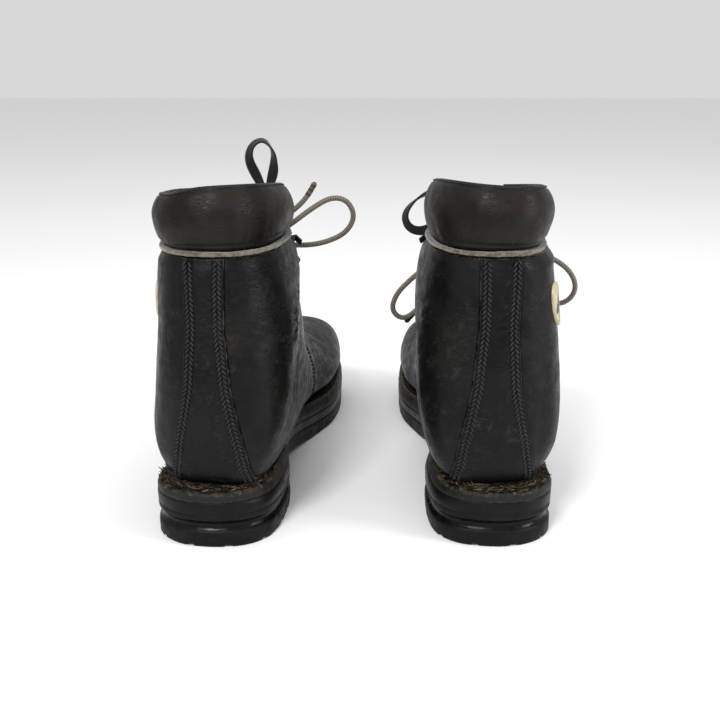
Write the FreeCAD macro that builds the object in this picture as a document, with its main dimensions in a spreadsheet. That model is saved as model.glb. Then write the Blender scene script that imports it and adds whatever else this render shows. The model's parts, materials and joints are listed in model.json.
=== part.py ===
import FreeCAD, Part
import math
import os

# A pair of mountaineering boots, millimetres, +Z up, toes towards +Y, left boot at -X.
# Each boot is built in its own frame: x = 0 is the heel's centre line, y = 0 the back of the
# heel, z = 0 the ground. "hand" is +1 on the right boot and -1 on the left, so lateral = hand * x.

V = FreeCAD.Vector
doc = FreeCAD.newDocument("mountaineering_boots")
sheet = doc.addObject("Spreadsheet::Sheet", "sizes")
SIZES = [
    ("sole_length", 308), ("sole_stack", 60), ("sole_span", 160),
    ("tread_inset", 2), ("midsole_inset", 0.8), ("groove_inset", 5),
    ("heel_tall", 20), ("heel_breast", 92), ("cable_low", 10.5), ("cable_tall", 6.5),
    ("lug_wide", 4), ("lug_tall", 3.5), ("lug_pitch", 13),
    ("shank_wide", 16), ("leather_thick", 2.5), ("stiffener_thick", 0.8), ("lining_thick", 1.8),
    ("collar_out", 0.8), ("collar_in", 6.2), ("piping_out", 2.2), ("piping_in", 0.8),
    ("tongue_depth", 9.8), ("tongue_thick", 3), ("insole_thick", 3),
    ("badge_tall", 25), ("badge_wide", 18), ("badge_thick", 1.2), ("badge_raise", 0.5),
    ("hook_long", 12), ("hook_wide", 8), ("hook_stem", 3.6), ("plate_thick", 1),
    ("ring_major", 3.4), ("ring_minor", 0.9),
    ("lace_dia", 3.6), ("flat_lace_dia", 3.0), ("knot_size", 6.0),
    ("left_offset", -92.4), ("right_offset", 82.6), ("left_toe_in", 9.0), ("right_toe_in", 3.0),
]
for row, (alias, value) in enumerate(SIZES, 1):
    sheet.set(f"A{row}", alias)
    sheet.set(f"B{row}", str(value))
    sheet.setAlias(f"B{row}", alias)
doc.recompute()


def size(alias):
    return float(sheet.get(alias))


# --- the boot's body: a surface over a fan of sections ------------------------------------

# Each section: back or bottom point (y, z), front or top point (y, z), half-width to the
# lateral and medial side, place of the widest line, and the squareness of its two halves.
SECTIONS = [
    ((299, 42), (298, 48), -3, 8, .50, 2.2, 2.2),       # toe tip
    ((295, 36), (293, 58), 14, 24, .42, 2.6, 2.2),
    ((281, 31), (276, 67), 32, 32, .36, 3.0, 2.2),
    ((256, 27.5), (248, 71), 47, 37, .30, 3.4, 2.2),
    ((222, 25), (210, 77), 52, 37, .27, 3.6, 2.1),      # ball of the foot
    ((184, 27), (170, 95), 48, 33, .27, 3.4, 2.1),
    ((150, 30), (142, 119), 42, 35, .33, 3.4, 2.1),     # instep
    ((112, 33.7), (126, 141), 38, 39, .38, 3.7, 2.3),
    ((70, 36.5), (118, 155), 36, 42, .41, 4.0, 2.5),
    ((30, 37.5), (116, 160.5), 35, 43, .42, 4.0, 2.6),
    ((9, 44), (115, 163.8), 35, 45, .42, 3.2, 2.6),     # heel
    ((3, 64), (114, 166.2), 35, 46, .42, 2.7, 2.6),
    ((4, 95), (114, 167.6), 35, 46, .44, 2.5, 2.6),
    ((9, 128), (114, 168.6), 35, 44, .46, 2.4, 2.6),    # ankle
    ((13, 152), (114, 169.4), 34, 41, .48, 2.4, 2.6),
    ((15, 168), (114, 170), 33, 39.5, .50, 2.4, 2.5),   # top of the leather
    ((15, 177), (115, 176), 33, 38, .50, 2.4, 2.5),
    ((14, 192), (116, 185), 35, 38, .50, 2.4, 2.5),
    ((16, 206), (117, 193), 34, 37, .50, 2.4, 2.5),     # rim of the collar
    ((17, 212), (118, 199), 34, 37, .50, 2.4, 2.5),     # tip of the tongue
]
LEATHER_TOP = 15
RIM = 18


def along(rows, u):
    """Smooth value between the rows of a list, at the fractional row u."""
    i = min(max(int(u), 0), len(rows) - 2)
    f = u - i
    a, b, c, d = (rows[min(max(k, 0), len(rows) - 1)] for k in (i - 1, i, i + 1, i + 2))
    return [q + .5 * f * (r - p + f * (2 * p - 5 * q + 4 * r - s + f * (3 * (q - r) + s - p)))
            for p, q, r, s in zip(a, b, c, d)]


FLAT_SECTIONS = [(*back, *front, *rest) for back, front, *rest in SECTIONS]


def surface(u, v):
    """Point of the outer surface: u runs toe to rim, v round from the bottom by the lateral side."""
    yb, zb, yf, zf, lateral, medial, widest, low, high = along(FLAT_SECTIONS, u)
    cs, sn = math.cos(2 * math.pi * v), math.sin(2 * math.pi * v)
    e = low if cs > 0 else high
    r = (abs(cs) ** e + abs(sn) ** e) ** (-1 / e)
    rise = widest * (1 - r * cs) if cs > 0 else widest - (1 - widest) * r * cs
    x = (lateral - medial) / 2 + (lateral + medial) / 2 * r * sn
    return V(x, yb + (yf - yb) * rise, zb + (zf - zb) * rise)


def outward(u, v):
    d = 0.01
    du = surface(min(u + d, len(SECTIONS) - 1), v) - surface(max(u - d, 0), v)
    dv = surface(u, v + d) - surface(u, v - d)
    return dv.cross(du).normalize()


def skin(u, v, depth):
    """Point at a depth under the outer surface."""
    return surface(u, v) - outward(u, v) * depth


def turn(u, width, top):
    """How far round, from the bottom or from the top, a line this far off the middle lies."""
    _, _, _, _, lateral, medial, _, low, high = along(FLAT_SECTIONS, u)
    e = high if top else low
    k = min(abs(width) / ((lateral + medial) / 2), 0.98)
    return math.copysign(math.atan2(k, (1 - k ** e) ** (1 / e)) / (2 * math.pi), width)


def broken(points, u):
    """Value on a broken line of (u, value) points."""
    for (a, p), (b, q) in zip(points, points[1:]):
        if u <= b:
            return p + (q - p) * max(u - a, 0) / (b - a)
    return points[-1][1]


GAP = [(4.9, .4), (5.4, 7), (6, 11), (7, 14), (8, 15.5), (11, 16), (19, 16)]
STAY = [(0, 4), (1, 9), (2, 14), (4, 20), (8.3, 24), (10, 24), (11, 20), (12, 14), (13, 11.3), (15, 12)]
THROAT = 4.9


def seam(k):
    """Section at which vamp and quarter meet; k runs from the bottom to the throat."""
    return THROAT + 0.7 * (1 - k) ** 2


def low_edge(u):
    return turn(u, broken(STAY, u), False)


def high_edge(u):
    return 0.5 - turn(u, broken(GAP, u), True)


def quarter_map(lateral):
    def at(s, k):
        u = seam(k) + (LEATHER_TOP - seam(k)) * s
        v = low_edge(u) + (high_edge(u) - low_edge(u)) * k
        return (u, v if lateral else 1 - v)
    return at


def vamp_map(s, k):
    half = 2 * k if k <= 0.5 else 2 * (1 - k)
    u = seam(half) * s
    v = low_edge(u) + (high_edge(u) - low_edge(u)) * half
    return (u, v if k <= 0.5 else 1 - v)


def stay_map(s, k):
    u = 8.3 + (LEATHER_TOP - 8.3) * s
    return (u, low_edge(u) * (2 * k - 1))


def patch(first, last, reach):
    """Part of the surface between two sections, to the same share of the way round each side."""
    return lambda s, k: (first + (last - first) * s, reach * (2 * k - 1))


def open_front(first, last):
    def at(s, k):
        u = first + (last - first) * s
        return (u, high_edge(u) * (2 * k - 1))
    return at


def tongue_map(s, k):
    u = broken([(0, 5.6), (.4, 8), (.6, LEATHER_TOP), (1, len(SECTIONS) - 1)], s)
    width = broken([(5.6, 12), (7, 21), (9, 25), (19, 25)], u)
    return (u, 0.5 + turn(u, width, True) * (1 - 2 * k))


def layer(at, out, into, across, around, hand):
    """Closed solid between two depths over a mapped patch: two cubic faces and their rims."""
    def knots(count):
        return [4] + [1] * (count - 4) + [4], list(range(count - 2))

    def spline(depth):
        poles = []
        for i in range(across + 1):
            row = [skin(*at(i / across, j / around), depth) for j in range(around + 1)]
            poles.append([V(p.x * hand, p.y, p.z) for p in row])
        face = Part.BSplineSurface()
        (u_mults, u_knots), (v_mults, v_knots) = knots(across + 1), knots(around + 1)
        face.buildFromPolesMultsKnots(poles, u_mults, v_mults, u_knots, v_knots, False, False, 3, 3)
        return face

    def rims(s):
        u0, u1, v0, v1 = s.bounds()
        return [s.uIso(u0), s.vIso(v1), s.uIso(u1), s.vIso(v0)]

    a, b = spline(out), spline(into)
    faces = [a.toShape(), b.toShape()]
    faces += [Part.makeRuledSurface(p.toShape(), q.toShape()) for p, q in zip(rims(a), rims(b))]
    joined = Part.Compound(faces)
    joined.sewShape()
    solid = Part.Solid(joined.Shells[0])
    if solid.Volume < 0:
        solid.reverse()
    return solid


# --- helpers that make document objects ---------------------------------------------------

made = {"left": [], "right": []}


def feature(label, shape, side):
    obj = doc.addObject("Part::Feature", label)
    obj.Label = label
    obj.Shape = shape
    made[side].append(obj)
    return obj


def new_body(label):
    obj = doc.addObject("PartDesign::Body", label)
    obj.Label = label
    return obj


def sketch(body, role, geometry, height=0):
    plane = next(o for o in body.Origin.OriginFeatures if o.Role == role)
    made_sketch = body.newObject("Sketcher::SketchObject", body.Label + "_sketch")
    made_sketch.AttachmentSupport = [(plane, "")]
    made_sketch.MapMode = "FlatFace"
    made_sketch.AttachmentOffset = FreeCAD.Placement(V(0, 0, height), FreeCAD.Rotation())
    made_sketch.addGeometry(geometry, False)
    return made_sketch


def pad(body, profile, length, symmetric=False):
    feat = body.newObject("PartDesign::Pad", body.Label + "_pad")
    feat.Profile = profile
    feat.setExpression("Length", length)
    feat.SideType = "Symmetric" if symmetric else "One side"
    return feat


def pocket(body, profile, length, symmetric=False, upward=True):
    feat = body.newObject("PartDesign::Pocket", body.Label + "_pocket")
    feat.Profile = profile
    feat.setExpression("Length", length)
    feat.SideType = "Symmetric" if symmetric else "One side"
    feat.Reversed = upward and not symmetric
    return feat


def spline_edge(points, closed=False):
    curve = Part.BSplineCurve()
    curve.interpolate(Points=[V(x, y, 0) for x, y in points], PeriodicFlag=closed)
    return curve


def loop(corners):
    ends = [V(x, y, 0) for x, y in corners]
    return [Part.LineSegment(a, b) for a, b in zip(ends, ends[1:] + ends[:1])]


# --- sole ---------------------------------------------------------------------------------

# Edge of the sole seen from above: y, lateral half-width, medial half-width.
OUTLINE = [(0, 7, 7), (3.5, 18, 18), (11, 27.5, 27.5), (23, 33.5, 34), (45, 35.5, 36),
           (80, 37, 34), (115, 43, 27.5), (150, 50, 25.5), (180, 56, 31), (210, 60, 38.5),
           (235, 59, 40), (260, 52, 38), (282, 38, 33.5), (298, 21, 25), (306.5, 6, 15)]
# Side view: the tread is lifted at the waist, flat under the ball and sprung at the toe.
WAIST_LINE = [(92, 12), (130, 9.5), (160, 4), (188, 0)]
TOE_LINE = [(238, 0), (252, 1), (281, 6), (312, 16)]
# Heights of the sole's layers at the same places along the foot, straight as far as the breast.
STATIONS = [-6, 92, 150, 184, 215, 250, 281, 312]
TREAD_TOP = [20, 20, 14.5, 11, 10, 11.5, 16, 25]
MIDSOLE_TOP = [28, 27, 21, 17.5, 16, 17.3, 21.5, 30]
WELT_TOP = [38, 35.5, 29.5, 26.3, 24.5, 26.2, 30, 36.5]


def outline(inset, hand):
    scale = size("sole_length") / 308
    ring = [V(lat * hand, y * scale, 0) for y, lat, _ in OUTLINE]
    ring += [V(-med * hand, y * scale, 0) for y, _, med in reversed(OUTLINE)]
    moved = []
    for i, p in enumerate(ring):
        way = ring[(i + 1) % len(ring)] - ring[i - 1]
        normal = V(way.y, -way.x, 0).normalize() * hand
        moved.append(p - normal * inset)
    return [(p.x, p.y) for p in moved]


def frame_with_hole(points, reach=400):
    """Big rectangle with a closed spline as its hole: what a Pocket has to take away."""
    return loop([(-reach, -reach), (reach, -reach), (reach, reach), (-reach, reach)]) + [
        spline_edge(points, True)]


def sole_layer(label, side, hand, low, high, inset):
    """A sheet of the sole: its side view padded across, then trimmed to the outline.

    The low and high edges are lists of curves, each of which runs from heel to toe."""
    body = new_body(label)
    ends = [Part.LineSegment(low[0].StartPoint, high[0].StartPoint),
            Part.LineSegment(low[-1].EndPoint, high[-1].EndPoint)]
    side_view = sketch(body, "YZ_Plane", low + high + ends)
    pad(body, side_view, "sizes.sole_span", True)
    trim = sketch(body, "XY_Plane", frame_with_hole(outline(inset, hand)), -5)
    pocket(body, trim, "sizes.sole_stack")
    made[side].append(body)
    return body


def full_length(heights):
    points = list(zip(STATIONS, heights))
    return [Part.LineSegment(V(*points[0], 0), V(*points[1], 0)), spline_edge(points[1:])]


def tread(label, side, hand):
    ground = [spline_edge(WAIST_LINE), Part.LineSegment(V(*WAIST_LINE[-1], 0), V(*TOE_LINE[0], 0)),
              spline_edge(TOE_LINE)]
    top = full_length(TREAD_TOP)[1:]
    body = sole_layer(label, side, hand, ground, top, size("tread_inset"))
    wide, tall = size("lug_wide"), size("lug_tall")
    cuts = []
    for n in range(5):
        y = 183 + n * size("lug_pitch")
        cuts += loop([(y, -5), (y + wide, -5), (y + wide, tall), (y, tall)])
    pocket(body, sketch(body, "YZ_Plane", cuts), "sizes.sole_span", True)
    middle = loop([(8 * hand, 150), (14 * hand, 150), (14 * hand, 262), (8 * hand, 262)])
    pocket(body, sketch(body, "XY_Plane", middle, -1), "sizes.lug_tall")
    return body


def heel(label, side, hand):
    """Heel block with the groove for a binding cable round it and notched lugs below."""
    body = new_body(label)
    tall, breast = size("heel_tall"), size("heel_breast") - 0.3
    plan = loop([(-80, -20), (80, -20), (80, breast), (-80, breast)])
    pad(body, sketch(body, "XY_Plane", plan), "sizes.heel_tall")
    trim = sketch(body, "XY_Plane", frame_with_hole(outline(size("tread_inset"), hand)), -1)
    pocket(body, trim, "sizes.sole_stack")
    groove = sketch(body, "XY_Plane", frame_with_hole(outline(size("groove_inset"), hand)))
    groove.setExpression("AttachmentOffset.Base.z", "sizes.cable_low")
    pocket(body, groove, "sizes.cable_tall")
    cuts = []
    for y in (18, 42, 66):
        for x in (-40, 22):
            cuts += loop([(x, y), (x + 18, y), (x + 18, y + size("lug_wide")), (x, y + size("lug_wide"))])
    pocket(body, sketch(body, "XY_Plane", cuts, -1), "sizes.lug_tall")
    made[side].append(body)
    return body


def shank(label, side, hand):
    """Flat spring steel between the lasting margins, along the waist."""
    body = new_body(label)
    route = [(66, 36.7), (92, 35.8), (120, 33.1), (150, 29.9), (178, 27.3)]
    top = [(y, z + 1.4) for y, z in route]
    ends = [Part.LineSegment(V(*route[i], 0), V(*top[i], 0)) for i in (0, -1)]
    profile = sketch(body, "YZ_Plane", [spline_edge(route), spline_edge(top)] + ends)
    pad(body, profile, "sizes.shank_wide", True)
    made[side].append(body)
    return body


# --- fittings -----------------------------------------------------------------------------

def frame_at(u, v, lift, hand):
    """Placement on the surface: local x away from the lacing, y along the edge, z outward."""
    point, normal = skin(u, v, -lift), outward(u, v)
    away = surface(u, v + (-0.01 if v < 0.5 else 0.01)) - surface(u, v)
    point, normal, away = (V(p.x * hand, p.y, p.z) for p in (point, normal, away))
    edge = normal.cross(away).normalize()
    away = edge.cross(normal).normalize()
    turned = FreeCAD.Matrix(away.x, edge.x, normal.x, point.x, away.y, edge.y, normal.y, point.y,
                            away.z, edge.z, normal.z, point.z, 0, 0, 0, 1)
    return FreeCAD.Placement(turned)


def hook_body():
    """Open lace hook: plate, stem on the side of the gap, and a lip over the lace."""
    body = new_body("lace_hook")
    half, thick = size("hook_long") / 2, size("plate_thick")
    lip = [(-half, 0), (half, 0), (half, thick), (.7, thick), (.7, 5.6), (half, 5.6),
           (half, 6.9), (-.7, 6.9), (-.7, thick), (-half, thick)]
    pad(body, sketch(body, "XZ_Plane", loop(lip)), "sizes.hook_stem", True)
    w = size("hook_wide") / 2
    plate = loop([(-half, -w), (half, -w), (half, w), (-half, w)])
    pad(body, sketch(body, "XY_Plane", plate), "sizes.plate_thick")
    return body


def ring_body():
    """D-ring: a plate with a ring standing on it, which the lace runs through."""
    plate = doc.addObject("Part::Box", "ring_plate")
    for prop, value in (("Length", "sizes.hook_wide"), ("Width", "sizes.hook_wide"),
                        ("Height", "sizes.plate_thick")):
        plate.setExpression(prop, value)
    plate.Placement.Base = V(-6.5, -size("hook_wide") / 2, 0)
    ring = doc.addObject("Part::Torus", "ring_wire")
    ring.setExpression("Radius1", "sizes.ring_major")
    ring.setExpression("Radius2", "sizes.ring_minor")
    ring.Placement = FreeCAD.Placement(V(0, 0, 4.4), FreeCAD.Rotation(V(1, 0, 0), 90))
    both = doc.addObject("Part::Fuse", "lace_ring")
    both.Base, both.Tool = plate, ring
    return both


RINGS = [5.4, 5.8, 6.2, 6.6]        # sections that carry a D-ring on each side
HOOKS = [7.2, 7.75, 8.7, 12.0]          # sections that carry a hook on each side
ROW = 9                                 # lacing row, this far outside the edge of the gap


def fitting_turn(u):
    return 0.5 - turn(u, broken(GAP, u) + ROW, True)


def copies(label, side, hand, pattern, rows):
    """One node of identical fittings, a separate solid for each."""
    solids = []
    for u in rows:
        for v in (fitting_turn(u), 1 - fitting_turn(u)):
            piece = pattern.Shape.copy()
            piece.Placement = frame_at(u, v, 0.1, hand).multiply(piece.Placement)
            solids.append(piece)
    return feature(label, Part.makeCompound(solids), side)


def badge(label, side, hand):
    """Oval badge on the lateral ankle with a raised rim and a plain peak."""
    body = new_body(label)
    a, b = size("badge_tall") / 2, size("badge_wide") / 2

    def ring(shrink):
        return Part.Ellipse(V(0, 0, 0), a - shrink, b - shrink)

    pad(body, sketch(body, "XY_Plane", [ring(0)]), "sizes.badge_thick")
    pad(body, sketch(body, "XY_Plane", [ring(0), ring(1.5)], size("badge_thick")), "sizes.badge_raise")
    peak = loop([(-4, -5.5), (5, 0), (-4, 5.5)])
    pad(body, sketch(body, "XY_Plane", peak, size("badge_thick")), "sizes.badge_raise")
    upright = FreeCAD.Placement(V(0, 0, 0), FreeCAD.Rotation(V(0, 0, 1), 90))
    body.Placement = frame_at(12.6, 0.25, 1.2, hand).multiply(upright)
    made[side].append(body)
    return body


# --- laces --------------------------------------------------------------------------------

def tube(points, diameter, name):
    """Round tube: straight runs joined by arcs as large as the shorter run allows."""
    points = [V(*p) for p in points]
    edges, start, radii = [], points[0], []
    for a, b, c in zip(points, points[1:], points[2:]):
        back, ahead = (a - b), (c - b)
        shorter = min(back.Length, ahead.Length)
        back, ahead = back.normalize(), ahead.normalize()
        half_turn = (math.pi - back.getAngle(ahead)) / 2
        reach = 0.45 * shorter
        radius = reach / math.tan(half_turn)
        radii.append(radius)
        first, last = b + back * reach, b + ahead * reach
        towards = (back + ahead).normalize()
        middle = b + towards * (radius / math.cos(half_turn) - radius)
        edges += [Part.LineSegment(start, first).toShape(), Part.Arc(first, middle, last).toShape()]
        start = last
    edges.append(Part.LineSegment(start, points[-1]).toShape())
    wire = Part.Wire(edges)
    profile = Part.Wire([Part.Circle(points[0], points[1] - points[0], diameter / 2).toShape()])
    solid = wire.makePipeShell([profile], True, False)
    expected = math.pi * diameter ** 2 / 4 * wire.Length
    print(f"{name}: length {wire.Length:.0f}, least radius {min(radii):.1f}, "
          f"volume ratio {solid.Volume / expected:.3f}")
    return solid


def strand(start_lateral, over, hand):
    """One of the two crossing strands: side to side up the rows, over or under the other."""
    rows = RINGS + HOOKS
    points = []
    lateral = start_lateral
    lift_mid = (3.9, 4.9) if over else (2.7, 1.1)
    for i, u in enumerate(rows):
        lift = 4.5 if u in RINGS else 3.3
        place = frame_at(u, fitting_turn(u) if lateral else 1 - fitting_turn(u), lift, hand)
        up = surface(u + 0.2, 0.5) - surface(u - 0.2, 0.5)
        way = 1 if V(0, 1, 0).dot(place.inverse().Rotation.multVec(up)) > 0 else -1
        pair = [place.multVec(V(2.6, -4 * way, 0)), place.multVec(V(2.6, 4 * way, 0))]
        points += pair if i else pair[1:]
        if i + 1 < len(rows):
            following = rows[i + 1]
            for share, rise in ((.27, lift_mid[0]), (.5, lift_mid[1]), (.73, lift_mid[0])):
                mid_u = u + (following - u) * share
                v0, v1 = fitting_turn(u), 1 - fitting_turn(following)
                v = v0 + (v1 - v0) * share
                p = skin(mid_u, v if lateral else 1 - v, -rise)
                points.append(V(p.x * hand, p.y, p.z))
        lateral = not lateral
    return points[:-1]


# Routes of the free laces in each boot's own frame (x to the wearer's right), by hand.
ROUTES = {
    "left": {
        "outer_loop_medial": [(12, 134, 157), (24, 141, 165), (37, 147, 175), (50, 151, 183),
                              (61, 153, 181), (66, 154, 170), (60, 154, 159), (48, 152, 153),
                              (36, 147, 151), (24, 142, 152), (13, 136, 151)],
        "outer_end_medial": [(10, 137, 160), (17, 142, 168), (27, 146, 175), (35, 148, 183), (40, 148, 192)],
        "outer_loop_lateral": [(-2, 137, 155), (-14, 145, 154), (-26, 150, 147), (-36, 152, 137),
                               (-39, 154, 125), (-32, 157, 116), (-21, 159, 117), (-12, 157, 127),
                               (-6, 150, 138), (-1, 142, 147)],
        "outer_end_lateral": [(6, 142, 149), (8, 151, 141), (7, 161, 131), (3, 172, 122), (1, 184, 115)],
        "inner_loop_medial": [(12, 122, 192), (8, 119, 201), (4, 116, 211), (7, 114, 220), (15, 113, 224),
                              (21, 114, 217), (21, 116, 207), (18, 120, 198), (15, 124, 190)],
        "inner_loop_lateral": [(3, 124, 190), (-7, 127, 193), (-17, 128, 189), (-22, 130, 179),
                               (-17, 132, 171), (-9, 131, 174), (-2, 129, 181), (4, 127, 187)],
        "inner_end_medial": [(15, 126, 184), (21, 129, 180), (21, 131, 171), (20, 131, 162),
                             (20, 132, 153), (19, 134, 146)],
        "inner_end_lateral": [(5, 129, 183), (0, 133, 174), (-7, 134, 165), (-13, 134, 157), (-19, 134, 150)],
    },
    "right": {
        "outer_loop_medial": [(-5, 140, 146), (-17, 147, 143), (-30, 148, 135), (-42, 145, 126),
                              (-51, 143, 117), (-54, 143, 106), (-46, 144, 99), (-36, 149, 104),
                              (-27, 153, 114), (-17, 152, 126), (-7, 146, 137)],
        "outer_end_medial": [(-2, 147, 137), (-9, 157, 127), (-20, 161, 116), (-32, 157, 106), (-43, 148, 97)],
        "outer_loop_lateral": [(9, 140, 147), (24, 148, 149), (40, 149, 146), (55, 145, 141),
                               (67, 141, 133), (72, 139, 121), (66, 139, 111), (54, 142, 109),
                               (40, 147, 114), (25, 150, 124), (11, 146, 137)],
        "outer_end_lateral": [(5, 147, 137), (10, 157, 128), (14, 168, 119), (18, 178, 110), (21, 187, 101)],
        "inner_loop_medial": [(-5, 123, 192), (-16, 126, 193), (-29, 126, 190), (-41, 125, 184),
                              (-48, 124, 175), (-45, 124, 166), (-36, 125, 163), (-25, 126, 168),
                              (-14, 127, 178), (-6.5, 126, 183.5)],
        "inner_loop_lateral": [(8, 123, 192), (19, 127, 191), (27, 130, 183), (27, 132, 173),
                               (20, 134, 167), (12, 132, 172), (9, 129, 181)],
        "inner_end_medial": [(-4, 128, 184), (-12, 132, 177), (-18, 135, 167), (-19, 138, 156),
                             (-15, 142, 146)],
        "inner_end_lateral": [(4, 128, 182), (4, 135, 174), (5, 139, 165), (3, 141, 157), (-4, 143.5, 149)],
    },
}
KNOTS = {"left": ((5, 134, 154), (9, 122, 187)), "right": ((2, 139, 142), (2, 122, 187))}


def ball(centre, radius):
    return Part.makeSphere(radius, V(*centre))


def laces(side, hand):
    wide, flat = size("lace_dia"), size("flat_lace_dia")
    outer_knot, inner_knot = KNOTS[side]
    strands = [tube(strand(start, start, hand), wide, f"{side} strand") for start in (True, False)]
    feature(f"{side}_outer_lace", Part.makeCompound(strands + [ball(outer_knot, size("knot_size") - 1)]),
            side)
    k = V(*inner_knot)
    band = [(k.x - 17, k.y - 2, k.z - 2), (k.x - 10, k.y + .3, k.z - 1), (k.x - 5, k.y + .6, k.z)]
    other = [(k.x + 5, k.y + .6, k.z), (k.x + 10, k.y + .3, k.z - 1), (k.x + 17, k.y - 2, k.z - 2)]
    pieces = [tube(route, flat, f"{side} inner band") for route in (band, other)]
    feature(f"{side}_inner_lace", Part.makeCompound(pieces + [ball(inner_knot, size("knot_size") - 1.5)]),
            side)
    for name, route in ROUTES[side].items():
        feature(f"{side}_{name}", tube(route, wide if "outer" in name else flat, f"{side} {name}"), side)


# --- the two boots ------------------------------------------------------------------------

def upper(side, hand):
    thick = size("leather_thick")
    hidden = thick + 0.3
    inner = hidden + size("stiffener_thick") + 0.5
    lined = inner + size("lining_thick")
    pieces = [
        ("vamp", vamp_map, 0, thick, 14, 24),
        ("quarter_lateral", quarter_map(True), 0, thick, 26, 12),
        ("quarter_medial", quarter_map(False), 0, thick, 26, 12),
        ("backstay", stay_map, 0, thick, 18, 6),
        ("counter", patch(8.6, 12.2, 0.27), hidden, hidden + size("stiffener_thick"), 12, 14),
        ("toe_puff", patch(0.6, 2.6, 0.999 / 2), hidden, hidden + size("stiffener_thick"), 8, 24),
        ("lining", open_front(1.1, LEATHER_TOP), inner, lined, 28, 28),
        ("insole", patch(1.6, 8.9, 0.1), lined + 0.8, lined + 0.8 + size("insole_thick"), 14, 8),
        ("piping", open_front(LEATHER_TOP + .12, LEATHER_TOP + .42), -size("piping_out"), size("piping_in"),
         3, 28),
        ("collar", open_front(LEATHER_TOP + .5, RIM), -size("collar_out"), size("collar_in"), 8, 24),
        ("tongue", tongue_map, size("tongue_depth"), size("tongue_depth") + size("tongue_thick"), 12, 6),
    ]
    for name, at, out, into, across, around in pieces:
        feature(f"{side}_{name}", layer(at, out, into, across, around, hand), side)


hook, ring = hook_body(), ring_body()
doc.recompute()
for side, hand in (("left", -1), ("right", 1)):
    tread(f"{side}_tread_sole", side, hand)
    heel(f"{side}_heel_block", side, hand)
    levels = [full_length(heights) for heights in (TREAD_TOP, MIDSOLE_TOP, WELT_TOP)]
    sole_layer(f"{side}_midsole", side, hand, levels[0], levels[1], size("midsole_inset"))
    sole_layer(f"{side}_welt", side, hand, levels[1], levels[2], 0)
    shank(f"{side}_shank", side, hand)
    upper(side, hand)
    badge(f"{side}_badge", side, hand)
    copies(f"{side}_d_rings", side, hand, ring, RINGS)
    copies(f"{side}_hooks", side, hand, hook, HOOKS)
    laces(side, hand)
doc.recompute()

# Stand the two boots side by side, then centre the pair's own box on the origin.
FREE = tuple(ROUTES["left"])


def stand(shift):
    for side, hand in (("left", -1), ("right", 1)):
        turned = FreeCAD.Rotation(V(0, 0, 1), hand * size(side + "_toe_in"))
        place = FreeCAD.Placement(V(size(side + "_offset"), 0, 0) - shift, turned)
        for obj in made[side]:
            obj.Placement = place.multiply(seated[obj.Name])


seated = {obj.Name: obj.Placement.copy() for side in made for obj in made[side]}
stand(V(0, 0, 0))
doc.recompute()
box = FreeCAD.BoundBox()
for obj in made["left"] + made["right"]:
    if not obj.Label.endswith(FREE):
        box.add(obj.Shape.optimalBoundingBox(False))
shift = V(box.Center.x, box.Center.y, box.ZMin)
stand(shift)
doc.recompute()

for obj in doc.Objects:
    if "Invalid" in obj.State or "Error" in obj.State:
        raise RuntimeError(f"{obj.Label} failed: {obj.State}")
for obj in made["left"] + made["right"]:
    if obj.Shape.isNull() or not obj.Shape.isValid():
        raise RuntimeError(f"{obj.Label} has no valid shape")
os.makedirs("parts", exist_ok=True)
for obj in made["left"] + made["right"]:
    obj.Shape.exportStep(f"parts/{obj.Label}.step")
    print(f"{obj.Label}: {obj.Shape.Volume / 1000:.2f} cm3, {len(obj.Shape.Solids)} solids")
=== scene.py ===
import json
import math

import bmesh
import bpy
import numpy as np
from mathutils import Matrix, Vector, kdtree, noise


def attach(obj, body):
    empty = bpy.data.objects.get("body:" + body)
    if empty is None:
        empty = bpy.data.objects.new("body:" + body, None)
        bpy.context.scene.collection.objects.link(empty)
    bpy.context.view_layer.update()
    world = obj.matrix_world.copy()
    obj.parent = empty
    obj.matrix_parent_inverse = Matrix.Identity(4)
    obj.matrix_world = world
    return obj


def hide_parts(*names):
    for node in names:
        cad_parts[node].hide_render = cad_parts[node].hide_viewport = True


# A pair of worn mountaineering boots. Each boot is worked out in its own frame in millimetres:
# x = 0 is the heel's centre line with x to the wearer's right, y = 0 the back of the heel,
# z = 0 the ground. "hand" is +1 on the right boot and -1 on the left, so lateral = hand * x.

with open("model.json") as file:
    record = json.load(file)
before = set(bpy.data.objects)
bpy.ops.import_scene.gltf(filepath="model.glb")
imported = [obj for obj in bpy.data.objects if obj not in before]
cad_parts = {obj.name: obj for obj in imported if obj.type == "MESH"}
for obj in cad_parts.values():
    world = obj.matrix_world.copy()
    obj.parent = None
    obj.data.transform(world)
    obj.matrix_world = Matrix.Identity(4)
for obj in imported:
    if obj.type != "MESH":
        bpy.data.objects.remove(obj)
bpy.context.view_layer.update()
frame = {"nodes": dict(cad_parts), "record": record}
MM = 0.001
UP = np.array([0.0, 0.0, 1.0])
rng = np.random.default_rng(7)


# --- where each boot stands ---------------------------------------------------------------

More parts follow.
